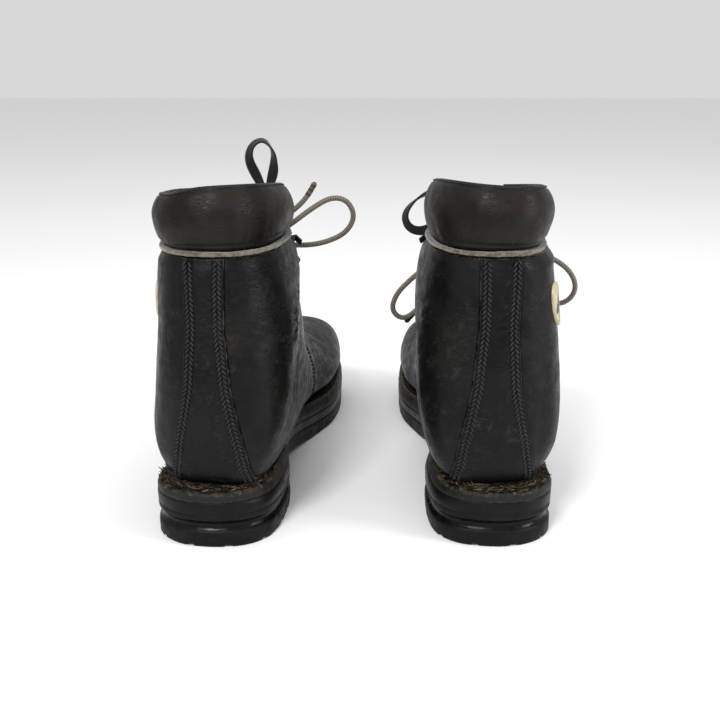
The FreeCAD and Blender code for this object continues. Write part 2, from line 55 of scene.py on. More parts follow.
class Boot:
    """One boot's place, read from its mounts: the heel rest and the groove's direction."""

    HEEL_REST = 54      # the heel rest lies this far in front of the back of the heel

    def __init__(self, side, hand):
        mounts = {m["name"]: m for m in frame["record"]["mounts"]}
        back_x, back_y, _ = mounts[f"{side}_heel_cable_groove"]["axis"]
        self.side, self.hand = side, hand
        self.forward = np.array([-back_x, -back_y, 0.0])
        self.right = np.array([-back_y, back_x, 0.0])
        self.base = np.array(mounts[f"{side}_heel_rest"]["pos_m"]) - self.forward * self.HEEL_REST * MM
        self.seed = 3.7 if side == "left" else 41.3

    def world(self, p):
        """Points of the boot's own frame, in mm, as places in the row frame, in metres."""
        p = np.asarray(p, float) * MM
        return self.base + p[..., :1] * self.right + p[..., 1:2] * self.forward + p[..., 2:] * UP

    def mirror(self, p):
        """Points with x to the lateral side, given x to the wearer's right."""
        return p * np.array([self.hand, 1, 1])

    def name(self, piece):
        return f"{self.side}_{piece}"


BOOTS = [Boot("left", -1), Boot("right", 1)]


# --- the boot's body: a surface over a fan of sections --------------------------------------

# Each section: back or bottom point y, z, front or top point y, z, half-width to the lateral
# and the medial side, place of the widest line, and the squareness of its two halves.
SECTIONS = np.array([
    (300, 44.5, 300, 45.5, -5.1, 5.9, .50, 2.2, 2.2), (295, 36, 293, 58, 14, 24, .42, 2.6, 2.2),
    (281, 31, 276, 67, 32, 32, .36, 3.0, 2.2), (256, 27.5, 248, 71, 47, 37, .30, 3.4, 2.2),
    (222, 25, 210, 77, 52, 37, .27, 3.6, 2.1), (184, 27, 170, 95, 48, 33, .27, 3.4, 2.1),
    (150, 30, 142, 119, 42, 35, .33, 3.4, 2.1), (112, 33.7, 126, 141, 38, 39, .38, 3.7, 2.3),
    (70, 36.5, 118, 155, 36, 42, .41, 4.0, 2.5), (30, 37.5, 116, 160.5, 35, 43, .42, 4.0, 2.6),
    (9, 44, 115, 163.8, 35, 45, .42, 3.2, 2.6), (3, 64, 114, 166.2, 35, 46, .42, 2.7, 2.6),
    (4, 95, 114, 167.6, 35, 46, .44, 2.5, 2.6), (9, 128, 114, 168.6, 35, 44, .46, 2.4, 2.6),
    (13, 152, 114, 169.4, 34, 41, .48, 2.4, 2.6), (15, 168, 114, 170, 33, 39.5, .50, 2.4, 2.5),
    (15, 177, 115, 176, 33, 38, .50, 2.4, 2.5), (14, 192, 116, 185, 35, 38, .50, 2.4, 2.5),
    (16, 206, 117, 193, 34, 37, .50, 2.4, 2.5), (17, 212, 118, 199, 34, 37, .50, 2.4, 2.5),
], float)
LAST = len(SECTIONS) - 1
LEATHER_TOP = 15
RIM = 18
TONGUE_TOP = 18.0
THROAT = 4.9
GAP = [(4.9, .4), (5.4, 7), (6, 11), (7, 14), (8, 15.5), (11, 16), (19, 16)]
STAY = [(0, 0), (1, 5), (2, 14), (4, 20), (8.3, 24), (10, 24), (11, 20), (12, 14), (13, 11.3), (15, 12)]


def along(rows, u):
    """Smooth value between rows, at the fractional rows u."""
    u = np.clip(u, 0, len(rows) - 1)
    i = np.minimum(u.astype(int), len(rows) - 2)
    f = (u - i)[..., None]
    p, q, r, s = (rows[np.clip(i + k, 0, len(rows) - 1)] for k in (-1, 0, 1, 2))
    return q + .5 * f * (r - p + f * (2 * p - 5 * q + 4 * r - s + f * (3 * (q - r) + s - p)))


def surface(u, v):
    """Points of the outer surface: u runs toe to rim, v round from the bottom, laterally."""
    u, v = np.broadcast_arrays(np.asarray(u, float), np.asarray(v, float))
    yb, zb, yf, zf, lateral, medial, widest, low, high = np.moveaxis(along(SECTIONS, u), -1, 0)
    cs, sn = np.cos(2 * math.pi * v), np.sin(2 * math.pi * v)
    e = np.where(cs > 0, low, high)
    r = (np.abs(cs) ** e + np.abs(sn) ** e) ** (-1 / e)
    rise = np.where(cs > 0, widest * (1 - r * cs), widest - (1 - widest) * r * cs)
    x = (lateral - medial) / 2 + (lateral + medial) / 2 * r * sn
    return np.stack([x, yb + (yf - yb) * rise, zb + (zf - zb) * rise], -1)


def unit(a):
    return a / np.maximum(np.linalg.norm(a, axis=-1, keepdims=True), 1e-9)


def outward(u, v):
    d = 0.01
    u, v = np.broadcast_arrays(np.asarray(u, float), np.asarray(v, float))
    du = surface(np.minimum(u + d, LAST), v) - surface(np.maximum(u - d, 0), v)
    dv = surface(u, v + d) - surface(u, v - d)
    return unit(np.cross(dv, du))


def skin(u, v, depth):
    """Points at a depth under the outer surface."""
    return surface(u, v) - outward(u, v) * np.asarray(depth, float)[..., None]


def broken(points, u):
    return np.interp(u, *zip(*points))


def turn(u, width, top):
    """How far round, from the bottom or from the top, a line this far off the middle lies."""
    u = np.asarray(u, float)
    row = along(SECTIONS, u)
    e = row[..., 8] if top else row[..., 7]
    k = np.minimum(np.abs(width) / ((row[..., 4] + row[..., 5]) / 2), 0.98)
    return np.copysign(np.arctan2(k, (1 - k ** e) ** (1 / e)) / (2 * math.pi), width)


def seam(k):
    return THROAT + 0.7 * (1 - k) ** 2


def low_edge(u):
    return turn(u, broken(STAY, u), False)


def high_edge(u):
    return 0.5 - turn(u, broken(GAP, u), True)


def quarter_map(lateral):
    def at(s, k):
        u = seam(k) + (LEATHER_TOP - seam(k)) * s
        v = low_edge(u) + (high_edge(u) - low_edge(u)) * k
        return u, v if lateral else 1 - v
    return at


def vamp_map(s, k):
    half = np.where(k <= 0.5, 2 * k, 2 * (1 - k))
    u = seam(half) * s
    v = low_edge(u) + (high_edge(u) - low_edge(u)) * half
    return u, np.where(k <= 0.5, v, 1 - v)


def stay_map(s, k):
    u = 8.3 + (LEATHER_TOP - 8.3) * s
    return u, low_edge(u) * (2 * k - 1)


def open_front(first, last):
    def at(s, k):
        u = first + (last - first) * s
        return u, high_edge(u) * (2 * k - 1)
    return at


def tongue_map(s, k):
    u = broken([(0, 5.6), (.4, 8), (.6, LEATHER_TOP), (1, TONGUE_TOP)], s)
    width = broken([(5.6, 12), (7, 21), (9, 25), (16.6, 24), (17.4, 20), (TONGUE_TOP, 13)], u)
    return u, 0.5 + turn(u, width, True) * (1 - 2 * k)


# --- mesh helpers ---------------------------------------------------------------------------

def fuzz(points, lump, seed=0.0):
    """Smooth noise from -1 to 1 at each point, with lumps this many mm wide."""
    flat = np.asarray(points, float).reshape(-1, 3) / lump + seed
    return np.array([noise.noise(p) for p in flat.tolist()]).reshape(np.shape(points)[:-1])


def bell(x, middle, width):
    return np.exp(-((x - middle) / width) ** 2)


def ramp(x, low, high):
    f = np.clip((x - low) / (high - low), 0, 1)
    return f * f * (3 - 2 * f)


def grid_faces(rows, columns, wrap=False, first=0):
    """Quads of a grid of points numbered row by row; wrap joins its last column to its first."""
    i = np.arange(rows - 1)[:, None]
    j = np.arange(columns if wrap else columns - 1)[None, :]
    j2 = (j + 1) % columns
    quads = np.stack([i * columns + j, i * columns + j2, (i + 1) * columns + j2, (i + 1) * columns + j], -1)
    return (quads.reshape(-1, 4) + first).tolist()


def build(name, verts, faces, material, smooth=True):
    mesh = bpy.data.meshes.new(name)
    mesh.from_pydata(np.asarray(verts).reshape(-1, 3).tolist(), [], faces)
    made = bmesh.new()
    made.from_mesh(mesh)
    bmesh.ops.recalc_face_normals(made, faces=made.faces)
    made.to_mesh(mesh)
    made.free()
    mesh.polygons.foreach_set("use_smooth", [smooth] * len(mesh.polygons))
    mesh.materials.append(material)
    piece = bpy.data.objects.new(name, mesh)
    bpy.context.scene.collection.objects.link(piece)
    return piece


def paint(piece, name, values):
    """Writes a number for each point, which the piece's material reads."""
    layer = piece.data.attributes.new(name, "FLOAT", "POINT")
    layer.data.foreach_set("value", np.asarray(values, float).ravel())


def fit(piece, boot, body, slot, *nodes):
    """Makes a finished piece part of its boot."""
    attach(piece, f"{boot.side}_{body}")
    if nodes:
        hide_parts(*(boot.name(node) for node in nodes))
    return piece


def spread(count, length):
    """Steps from 0 to 1 that crowd near both ends, for an edge that is rounded there."""
    close = np.array([0, .12, .3, .55, .9, 1.4]) / length
    return np.concatenate([close, np.linspace(2.2 / length, 1 - 2.2 / length, count), 1 - close[::-1]])


def from_edges(p, axis):
    """Distance of each grid point from the nearer end of its row or column."""
    steps = np.linalg.norm(np.diff(p, axis=axis), axis=-1)
    run = np.concatenate([np.zeros_like(np.take(steps, [0], axis)), np.cumsum(steps, axis)], axis)
    return np.minimum(run, np.take(run, [-1], axis) - run)


def seated(p):
    """Points with the foot of the leather pressed down on to the welt at the heel and the toe."""
    p = p.copy()
    sunk = 4.5 * ramp(130 - p[..., 1], 0, 50) + 3.5 * ramp(p[..., 1], 235, 285)
    p[..., 2] -= sunk * ramp(62 - p[..., 2], 0, 22)
    return p


def shell(name, boot, at, depths, counts, lengths, relief, material, rounding=1.0):
    """A closed panel between two depths, with rounded edges and its surface moved by relief."""
    s, k = np.meshgrid(spread(counts[0], lengths[0]), spread(counts[1], lengths[1]), indexing="ij")
    u, v = at(s, k)
    middle, normal = surface(u, v), outward(u, v)
    ends, sides = from_edges(middle, 0), from_edges(middle, 1)
    near = np.minimum(ends, sides)
    fall = 1 - np.minimum(near, rounding) / rounding
    rounded = rounding * (1 - np.sqrt(1 - fall ** 2))
    out = depths[0] + rounded - relief(boot, middle, u, v, sides, ends)
    into = np.maximum(depths[1] - 0.5 * rounded, out + 0.15)
    outer = boot.world(boot.mirror(seated(middle - normal * out[..., None])))
    inner = boot.world(boot.mirror(seated(middle - normal * into[..., None])))
    rows, columns = s.shape
    count = rows * columns
    faces = grid_faces(rows, columns) + grid_faces(rows, columns, first=count)
    number = np.arange(count).reshape(rows, columns)
    rim = np.concatenate([number[0, :-1], number[:-1, -1], number[-1, :0:-1], number[:0:-1, 0]])
    for a, b in zip(rim, np.roll(rim, -1)):
        faces.append((int(a), int(b), int(b) + count, int(a) + count))
    piece = build(name, np.concatenate([outer.reshape(-1, 3), inner.reshape(-1, 3)]), faces, material)
    paint(piece, "edge", np.concatenate([near.ravel(), near.ravel() + .3]))
    return piece


def sweep(path, section, twist=None, scale=None, start=UP):
    """Rings of a section carried along a path without spinning, but for the twist asked for."""
    tangent = unit(np.gradient(path, axis=0))
    side = unit(np.cross(tangent[0], start))
    sides = []
    for t in tangent:
        side = unit(side - t * np.dot(t, side))
        sides.append(side)
    sides = np.array(sides)
    others = np.cross(tangent, sides)
    if twist is not None:
        c, s = np.cos(twist)[:, None], np.sin(twist)[:, None]
        sides, others = sides * c + others * s, others * c - sides * s
    section = np.asarray(section, float)
    if section.ndim == 2:
        section = np.broadcast_to(section, (len(path), *section.shape))
    if scale is not None:
        section = section * scale[:, None, None]
    return path[:, None] + section[..., :1] * sides[:, None] + section[..., 1:] * others[:, None]


def tube_faces(rings, sides):
    """A swept tube's sides and its two end caps."""
    last = (rings - 1) * sides
    return grid_faces(rings, sides, wrap=True) + [tuple(range(sides)), tuple(range(last, last + sides))]


def threads(a, b, normal, radius, flat, lift=0.25):
    """One mesh of short stitches from a to b that bow up along the normal."""
    share = np.array([0, .05, .2, .5, .8, .95, 1])
    girth = np.array([.25, .7, .95, 1, .95, .7, .25])
    turns = np.arange(6) / 6 * 2 * math.pi
    run = b - a
    side = unit(np.cross(normal, run))
    middle = a[:, None] + run[:, None] * share[:, None]
    middle = middle + normal[:, None] * (np.sin(math.pi * share) * lift)[:, None]
    ring = (np.cos(turns)[:, None] * side[:, None, None] + np.sin(turns)[:, None] * flat
            * normal[:, None, None])
    verts = middle[:, :, None] + ring * (girth * radius)[:, None, None]
    one = tube_faces(len(share), len(turns))
    per = len(share) * len(turns)
    faces = [tuple(int(i) + n * per for i in face) for n in range(len(a)) for face in one]
    return verts, faces


def row_points(line, pitch):
    """Evenly spaced places along a fine line, with the way it runs there."""
    steps = np.concatenate([[0], np.cumsum(np.linalg.norm(np.diff(line, axis=0), axis=1))])
    marks = np.arange(pitch / 2, steps[-1], pitch)
    place = np.stack([np.interp(marks, steps, line[:, i]) for i in range(3)], 1)
    ahead = np.stack([np.interp(marks + .2, steps, line[:, i]) for i in range(3)], 1)
    return place, unit(ahead - place + 1e-9), marks / steps[-1]


def stitch_rows(name, boot, rows, material):
    """Rows of stitches on the skin. Each row: u and v along it, depth, pitch, length, slant, radius."""
    verts, faces, total = [], [], 0
    for u, v, depth, pitch, length, slant, radius in rows:
        line = seated(skin(u, v, np.full(u.shape, depth)))
        place, way, share = row_points(line, pitch)
        at = share * (len(u) - 1)
        normal = outward(np.interp(at, np.arange(len(u)), u), np.interp(at, np.arange(len(u)), v))
        across = unit(np.cross(normal, way))
        lean = np.radians(slant + 5 * fuzz(place, 3, boot.seed))[:, None]
        run = (way * np.cos(lean) + across * np.sin(lean)) * length / 2
        a, b = boot.mirror(place - run), boot.mirror(place + run)
        more, quads = threads(a, b, boot.mirror(normal), radius, .8)
        verts.append(more.reshape(-1, 3))
        faces += [tuple(i + total for i in face) for face in quads]
        total += more.size // 3
    return build(name, boot.world(np.concatenate(verts)), faces, material)


# --- materials ------------------------------------------------------------------------------

class Shader:
    """A principled material and short calls for the nodes in front of it."""

    def __init__(self, name, colour=(.5, .5, .5), rough=.5, **sockets):
        self.material = bpy.data.materials.new(name)
        self.material.use_nodes = True
        self.tree = self.material.node_tree
        self.bsdf = self.tree.nodes["Principled BSDF"]
        self.feed("Base Color", (*colour, 1))
        self.feed("Roughness", rough)
        for key, value in sockets.items():
            self.feed(key.replace("_", " "), value)
        self.place = self.node("TexCoord").outputs["Object"]
        self.bumps = None

    def feed(self, socket, value):
        if isinstance(socket, str):
            socket = self.bsdf.inputs[socket]
        if isinstance(value, bpy.types.NodeSocket):
            self.tree.links.new(value, socket)
        else:
            socket.default_value = value

    def node(self, kind, inputs=(), **settings):
        made = self.tree.nodes.new("ShaderNode" + kind)
        for key, value in settings.items():
            setattr(made, key, value)
        for key, value in dict(inputs).items():
            self.feed(made.inputs[key], value)
        return made

    def stretched(self, scale, turn=(0, 0, 0)):
        return self.node("Mapping", {"Vector": self.place, "Scale": scale, "Rotation": turn}).outputs[0]

    def noise(self, lump, detail=3, rough=.55, warp=0.0, place=None):
        """Noise with lumps this many mm wide."""
        inputs = {"Vector": place or self.place, "Scale": 1 / (lump * MM), "Detail": detail,
                  "Roughness": rough, "Distortion": warp}
        return self.node("TexNoise", inputs).outputs[0]

    def cells(self, lump, feature="F1", place=None):
        inputs = {"Vector": place or self.place, "Scale": 1 / (lump * MM)}
        return self.node("TexVoronoi", inputs, feature=feature).outputs["Distance"]

    def band(self, value, low, high, first=0.0, last=1.0):
        inputs = {0: value, 1: low, 2: high, 3: first, 4: last}
        return self.node("MapRange", inputs, interpolation_type="SMOOTHSTEP").outputs[0]

    def sum(self, a, b, operation="MULTIPLY"):
        return self.node("Math", {0: a, 1: b}, operation=operation).outputs[0]

    def mix(self, share, a, b):
        a, b = (c if isinstance(c, bpy.types.NodeSocket) else (*c, 1) for c in (a, b))
        return self.node("Mix", {0: share, 6: a, 7: b}, data_type="RGBA").outputs[2]

    def read(self, name):
        return self.node("Attribute", attribute_name=name).outputs["Fac"]

    def height(self):
        return self.node("SeparateXYZ", {0: self.place}).outputs[2]

    def bump(self, value, depth, strength=1.0):
        """Adds relief this many mm deep."""
        inputs = {"Height": value, "Distance": depth * MM, "Strength": strength}
        if self.bumps:
            inputs["Normal"] = self.bumps
        self.bumps = self.node("Bump", inputs).outputs[0]
        self.feed("Normal", self.bumps)


def leather(name, dark, light, scuffed, low=.27, high=.5, worn=.8, raw=(.2, .125, .06)):
    """Waxed leather: patches, scuffs, scratches, creased grain and a pale cut edge."""
    s = Shader(name, Specular_IOR_Level=.15)
    patches = s.band(s.noise(30, 5, .6), .38, .66)
    colour = s.mix(patches, dark, light)
    cloudy = s.band(s.noise(9, 8, .72, 1.2), .5, .72)
    lower = s.band(s.height(), .135, .035)
    scuffs = s.sum(s.sum(cloudy, s.band(s.noise(22, 3), .47, .6)), s.band(s.height(), .2, .03, .25, 1.0))
    colour = s.mix(s.sum(scuffs, .62 * worn), colour, scuffed)
    hairs = s.band(s.noise(1, 2, .5, 0, s.stretched((.9, .08, .5), (.3, .5, .7))), .66, .74)
    hairs2 = s.band(s.noise(1, 2, .5, 0, s.stretched((.12, .9, .7), (.2, .9, -.5))), .68, .75)
    scratch = s.sum(s.sum(hairs, hairs2, "MAXIMUM"), s.band(s.noise(18, 3), .5, .62))
    colour = s.mix(s.sum(scratch, .5 * worn), colour, scuffed)
    edge = s.band(s.read("edge"), .42, .12)
    edge = s.sum(edge, s.band(s.noise(6, 4), .42, .6, 0, .8))
    colour = s.mix(edge, colour, raw)
    s.feed("Base Color", colour)
    gloss = s.band(s.noise(7, 6, .65), .3, .7, low, high)
    gloss = s.sum(gloss, s.sum(scuffs, .25), "ADD")
    s.feed("Roughness", s.sum(gloss, s.sum(lower, .05), "ADD"))
    s.bump(s.cells(1.3, "SMOOTH_F1"), .07, .6)
    s.bump(s.noise(.7, 4, .6), .05, .6)
    creases = s.noise(1, 3, .6, .6, s.stretched((.16, .16, .75)))
    s.bump(s.sum(s.band(creases, .42, .52), s.band(s.noise(20, 3), .42, .6)), .22, .7)
    s.bump(scratch, -.1, .5)
    return s.material


def felt(name, light, stain):
    s = Shader(name, rough=.95, Sheen_Weight=.5, Sheen_Roughness=.5, Specular_IOR_Level=.2)
    colour = s.mix(s.band(s.noise(3, 6, .7), .38, .68), light, stain)
    s.feed("Base Color", s.mix(s.band(s.noise(14, 4), .55, .75), colour, (.05, .04, .03)))
    s.bump(s.noise(.5, 5, .7), .25, .8)
    s.bump(s.noise(.18, 3, .7, 2, s.stretched((1, 1, .4))), .12, .7)
    return s.material


def fabric(name, thread, gap, pitch=.9, sheen=.3):
    """Plain weave: two sets of ribs that pass over each other."""
    s = Shader(name, rough=.9, Sheen_Weight=sheen, Specular_IOR_Level=.25)
    waves = []
    for way in ("X", "Z"):
        inputs = {"Vector": s.place, "Scale": 1 / (pitch * MM) / 3.2, "Distortion": .5, "Detail": 1}
        waves.append(s.node("TexWave", inputs, bands_direction=way).outputs["Fac"])
    weave = s.sum(waves[0], waves[1], "MAXIMUM")
    # Painted shade: the gap colour darkens the low places between the threads; the same colour also makes
    # random darker patches.
    colour = s.mix(s.band(weave, .2, .9), gap, thread)
    s.feed("Base Color", s.mix(s.band(s.noise(12, 5), .5, .75), colour, gap))
    s.bump(weave, .25, .8)
    s.bump(s.noise(.3, 3), .08, .6)
    return s.material


def lace_weave(name, thread, dark):
    s = Shader(name, rough=.85, Sheen_Weight=.25, Specular_IOR_Level=.25)
    # Painted shade: the braid's low places take the dark colour, as shade between the strands; the same dark
    # colour also serves as random dirt.
    weave = s.band(s.read("braid"), .15, .75)
    colour = s.mix(weave, dark, thread)
    dirt = s.sum(s.band(s.noise(9, 5, .65), .48, .7), .55)
    colour = s.mix(dirt, colour, dark)
    s.feed("Base Color", s.mix(s.read("tip"), colour, (.05, .028, .015)))
    s.bump(s.read("braid"), .18, .8)
    s.bump(s.noise(.25, 3), .08, .7)
    return s.material


def rubber(name, colour, dust, low=.42, high=.62):
    """Moulded rubber, dusty where it rubs and glossy where nothing touches it."""
    s = Shader(name, Specular_IOR_Level=.14)
    patches = s.band(s.noise(11, 6, .7), .45, .7)
    matt = s.sum(patches, .5)
    base = s.mix(matt, colour, dust)
    marks = s.band(s.noise(1, 2, .5, 0, s.stretched((.1, .1, 1.1), (.1, .05, .2))), .66, .73)
    s.feed("Base Color", s.mix(s.sum(marks, .35), base, dust))
    gloss = s.band(s.noise(4, 5), .3, .7, low, high)
    s.feed("Roughness", s.sum(gloss, s.sum(s.read("shine"), .26), "SUBTRACT"))
    grit = s.sum(s.sum(s.noise(.6, 5, .7), .5, "SUBTRACT"), s.band(s.read("shine"), .9, .1))
    s.bump(grit, .14, .7)
    s.bump(s.noise(6, 3), .3, .5)
    return s.material


def welt_leather(name):
    """Stacked leather edge: dark dressing worn brown and fibrous along its edges."""
    s = Shader(name, Specular_IOR_Level=.25)
    base = s.mix(s.band(s.noise(12, 6, .7), .4, .7), (.0042, .0038, .0035), (.0105, .0085, .0070))
    fibre = s.noise(1, 6, .75, .8, s.stretched((.25, .25, 1.4)))
    brown = s.mix(s.band(fibre, .35, .65), (.022, .014, .008), (.105, .078, .045))
    worn = s.sum(s.read("worn"), s.band(s.noise(3.5, 6, .75), .46, .6))
    s.feed("Base Color", s.mix(worn, base, brown))
    s.feed("Roughness", s.band(worn, 0, .6, .5, .9))
    s.bump(fibre, .3, .6)
    s.bump(s.noise(1.2, 5, .7), .15, .7)
    return s.material


def metal(name, colour, chipped, rough=.38, chips=.62):
    s = Shader(name, Specular_IOR_Level=.5)
    worn = s.band(s.noise(1.6, 6, .7), chips, chips + .06)
    s.feed("Base Color", s.mix(worn, colour, chipped))
    s.feed("Metallic", s.band(worn, 0, 1, .35, 1))
    s.feed("Roughness", s.band(s.noise(.8, 4), .3, .7, rough, rough + .2))
    s.bump(s.noise(.5, 4), .05, .6)
    return s.material


def board(name, colour, speck):
    s = Shader(name, rough=.9)
    s.feed("Base Color", s.mix(s.band(s.noise(1.5, 6, .7), .4, .65), colour, speck))
    s.bump(s.noise(.6, 5, .7), .2, .7)
    return s.material


def badge_paint(name):
    """Cream moulded badge with dark print that has rubbed and grimy low parts."""
    s = Shader(name, Specular_IOR_Level=.5)
    cream = s.mix(s.band(s.noise(4, 5), .4, .7), (.52, .46, .29), (.38, .33, .20))
    cream = s.mix(s.sum(s.band(s.noise(1, 5, .7), .6, .7), .6), cream, (.16, .12, .07))
    s.feed("Base Color", s.mix(s.read("ink"), cream, (.014, .012, .012)))
    s.feed("Roughness", s.band(s.noise(3, 4), .3, .7, .32, .55))
    s.bump(s.noise(.8, 4), .06, .5)
    return s.material


def fibres(name):
    s = Shader(name, rough=.95, Specular_IOR_Level=.15)
    s.feed("Base Color", s.mix(s.read("tint"), (.010, .007, .005), (.19, .145, .085)))
    s.bump(s.noise(.4, 4, .7), .15, .8)
    return s.material


def thread(name, colour, worn):
    s = Shader(name, rough=.6, Specular_IOR_Level=.4)
    s.feed("Base Color", s.mix(s.band(s.noise(2.5, 5, .7), .5, .66), colour, worn))
    strands = s.noise(.35, 2, .5, 0, s.stretched((1, 1, .35), (.3, .4, 0)))
    s.bump(strands, .15, .8)
    return s.material


MATERIAL = {
    "upper": leather("waxed_leather", (.0022, .0022, .0025), (.0062, .0059, .0055), (.060, .052, .036)),
    "stay": leather("heel_strip_leather", (.0022, .0024, .0031), (.0048, .0050, .0057), (.080, .066, .042),
                    raw=(.085, .070, .050)),
    "collar": leather("padded_leather", (.0065, .0052, .0044), (.0150, .0112, .0088), (.034, .023, .017),
                      .34, .52, .45),
    "tongue": leather("tongue_leather", (.012, .011, .0105), (.025, .022, .020), (.08, .065, .05),
                      .4, .6, .6),
    "piping": felt("piping_felt", (.17, .15, .105), (.055, .046, .032)),
    "lining": fabric("lining_fabric", (.060, .058, .056), (.016, .015, .015)),
    "insole": felt("insole_felt", (.09, .08, .07), (.045, .04, .035)),
    "welt": welt_leather("welt_edge"),
    "rubber": rubber("sole_rubber", (.0030, .0031, .0036), (.0105, .0100, .0098)),
    "midsole": rubber("midsole_rubber", (.0030, .0031, .0036), (.0100, .0096, .0094), .36, .52),
    "hooks": metal("hook_black", (.012, .012, .013), (.34, .28, .19)),
    "steel": metal("spring_steel", (.30, .31, .33), (.12, .07, .04), .3, .5),
    "board": board("stiffener_board", (.21, .16, .10), (.12, .09, .06)),
    "grey_lace": lace_weave("lace_grey_braid", (.21, .19, .155), (.07, .06, .046)),
    "black_lace": lace_weave("lace_black_flat", (.012, .012, .014), (.0045, .0045, .005)),
    "badge": badge_paint("badge_cream"),
    "fibres": fibres("torn_fibres"),
    "stitch": thread("black_thread", (.0040, .0040, .0044), (.018, .015, .011)),
    "brown_tip": board("waxed_lace_end", (.085, .055, .034), (.03, .02, .014)),
    "black_tip": board("moulded_lace_end", (.006, .006, .007), (.02, .02, .02)),
    "welt_stitch": thread("waxed_thread", (.10, .085, .055), (.035, .028, .02)),
}


# --- leather panels ---------------------------------------------------------------------------

def lumps(boot, p):
    return .5 * fuzz(p, 26, boot.seed) + .2 * fuzz(p, 9, boot.seed + 7) + .06 * fuzz(p, 3, boot.seed)


def folds(phase):
    """Narrow valleys between broad rolls, from -1 to 0."""
    return -(.5 + .5 * np.cos(2 * math.pi * phase)) ** 3


def ankle_folds(boot, p):
    lean = p[..., 2] + .22 * p[..., 1]
    phase = lean / 5.2 + 1.1 * fuzz(p, 20, boot.seed + 3) + .35 * fuzz(p, 7, boot.seed + 5)
    strength = bell(p[..., 2], 124, 20) * ramp(fuzz(p, 24, boot.seed + 9), -.25, .3)
    return .42 * strength * folds(phase)


# Wear has changed each shaft's outer and inner side by these amounts in mm, by height.
SETTLED = {
    ("left", 1): [(44, 2.6), (58, 2.2), (82, 0), (110, -1.6), (138, -1.4), (162, 0)],
    ("left", -1): [(40, 0), (50, -1.2), (64, -.6), (82, 0), (170, 0)],
    ("right", 1): [(44, 1.6), (58, 3.6), (82, 3.4), (110, 1.5), (138, .3), (158, -.6), (168, 1.2)],
    ("right", -1): [(40, 0), (170, 0)],
}


def settled(boot, p):
    side = np.where(p[..., 0] > 0, broken(SETTLED[boot.side, 1], p[..., 2]),
                    broken(SETTLED[boot.side, -1], p[..., 2]))
    return side * ramp(np.abs(p[..., 0]), 20, 33) * ramp(150 - p[..., 1], 0, 60)


def quarter_relief(boot, p, u, v, sides, ends):
    instep = folds((p[..., 2] - .9 * p[..., 1]) / 8 + 1.2 * fuzz(p, 18, boot.seed))
    instep = .5 * instep * bell(u, 6.6, 1.2) * ramp(fuzz(p, 20, boot.seed + 2), -.3, .3)
    brim = -(1.3 + .55 * DRAWN_IN[boot.side] * ramp(p[..., 0], 4, 32)) * ramp(7.5 - ends, 0, 7.5) * (u > 12)
    return lumps(boot, p) * ramp(ends, 0, 8) + ankle_folds(boot, p) + instep + brim + settled(boot, p)


def vamp_relief(boot, p, u, v, sides, ends):
    upper_half = ramp(-np.cos(2 * math.pi * v), -.4, .3)
    phase = p[..., 1] / 7.5 + .9 * fuzz(p, 22, boot.seed) + .3 * fuzz(p, 8, boot.seed + 4)
    flex = .4 * bell(u, 4.3, .6) * folds(phase) * ramp(fuzz(p, 26, boot.seed + 8), -.2, .4)
    return lumps(boot, p) * .8 + upper_half * flex


def stay_relief(boot, p, u, v, sides, ends):
    channel = ramp(sides, .9, 1.5) * ramp(6.6 - sides, 0, .7)
    brim = -1.3 * ramp(7.5 - ends, 0, 7.5) * (u > 12)
    return .6 * lumps(boot, p) + .8 * ankle_folds(boot, p) - .42 * channel + brim


def along_stay(inset, sign, first=8.55, last=14.93):
    u = np.linspace(first, last, 160)
    v = turn(u, broken(STAY, u) - inset, False)
    return u, sign * v


def leather_panels(boot):
    thick = 2.5
    piece = shell(boot.name("upper_vamp"), boot, vamp_map, (0, thick), (120, 150), (190, 230),
                  vamp_relief, MATERIAL["upper"])
    fit(piece, boot, "boot", "upper_leather", "vamp")
    for label, lateral in (("lateral", True), ("medial", False)):
        piece = shell(boot.name(f"upper_quarter_{label}"), boot, quarter_map(lateral), (0, thick),
                      (140, 100), (190, 120), quarter_relief, MATERIAL["upper"])
        fit(piece, boot, "boot", "upper_leather", f"quarter_{label}")
    piece = shell(boot.name("heel_strip"), boot, stay_map, (-1.0, thick - .1), (150, 40), (150, 34),
                  stay_relief, MATERIAL["stay"], .7)
    fit(piece, boot, "boot", "upper_leather", "backstay")


def seams(boot):
    rows = []
    for sign in (1, -1):
        for inset, slant in ((2.35, 34), (5.0, -34)):
            u, v = along_stay(inset, sign)
            rows.append((u, v % 1.0 if sign < 0 else v, -.75, 2.75, 3.5, slant * sign, .72))
    piece = stitch_rows(boot.name("heel_strip_stitches"), boot, rows, MATERIAL["stitch"])
    fit(piece, boot, "boot", "upper_leather")
    rows = []
    for lateral in (True, False):
        at = quarter_map(lateral)
        k = np.linspace(.1, .94, 160)
        for inset in (.012, .028):
            u, v = at(np.full_like(k, inset), k)
            rows.append((u, v, -.05, 3.0, 2.3, 0, .38))
        s = np.linspace(.05, .985, 160)
        for inset in (.975, .81):
            u, v = at(s, np.full_like(s, inset))
            rows.append((u, v, -.05, 3.0, 2.3, 0, .38))
    piece = stitch_rows(boot.name("upper_stitches"), boot, rows, MATERIAL["stitch"])
    fit(piece, boot, "boot", "upper_leather")


# --- padding ----------------------------------------------------------------------------------

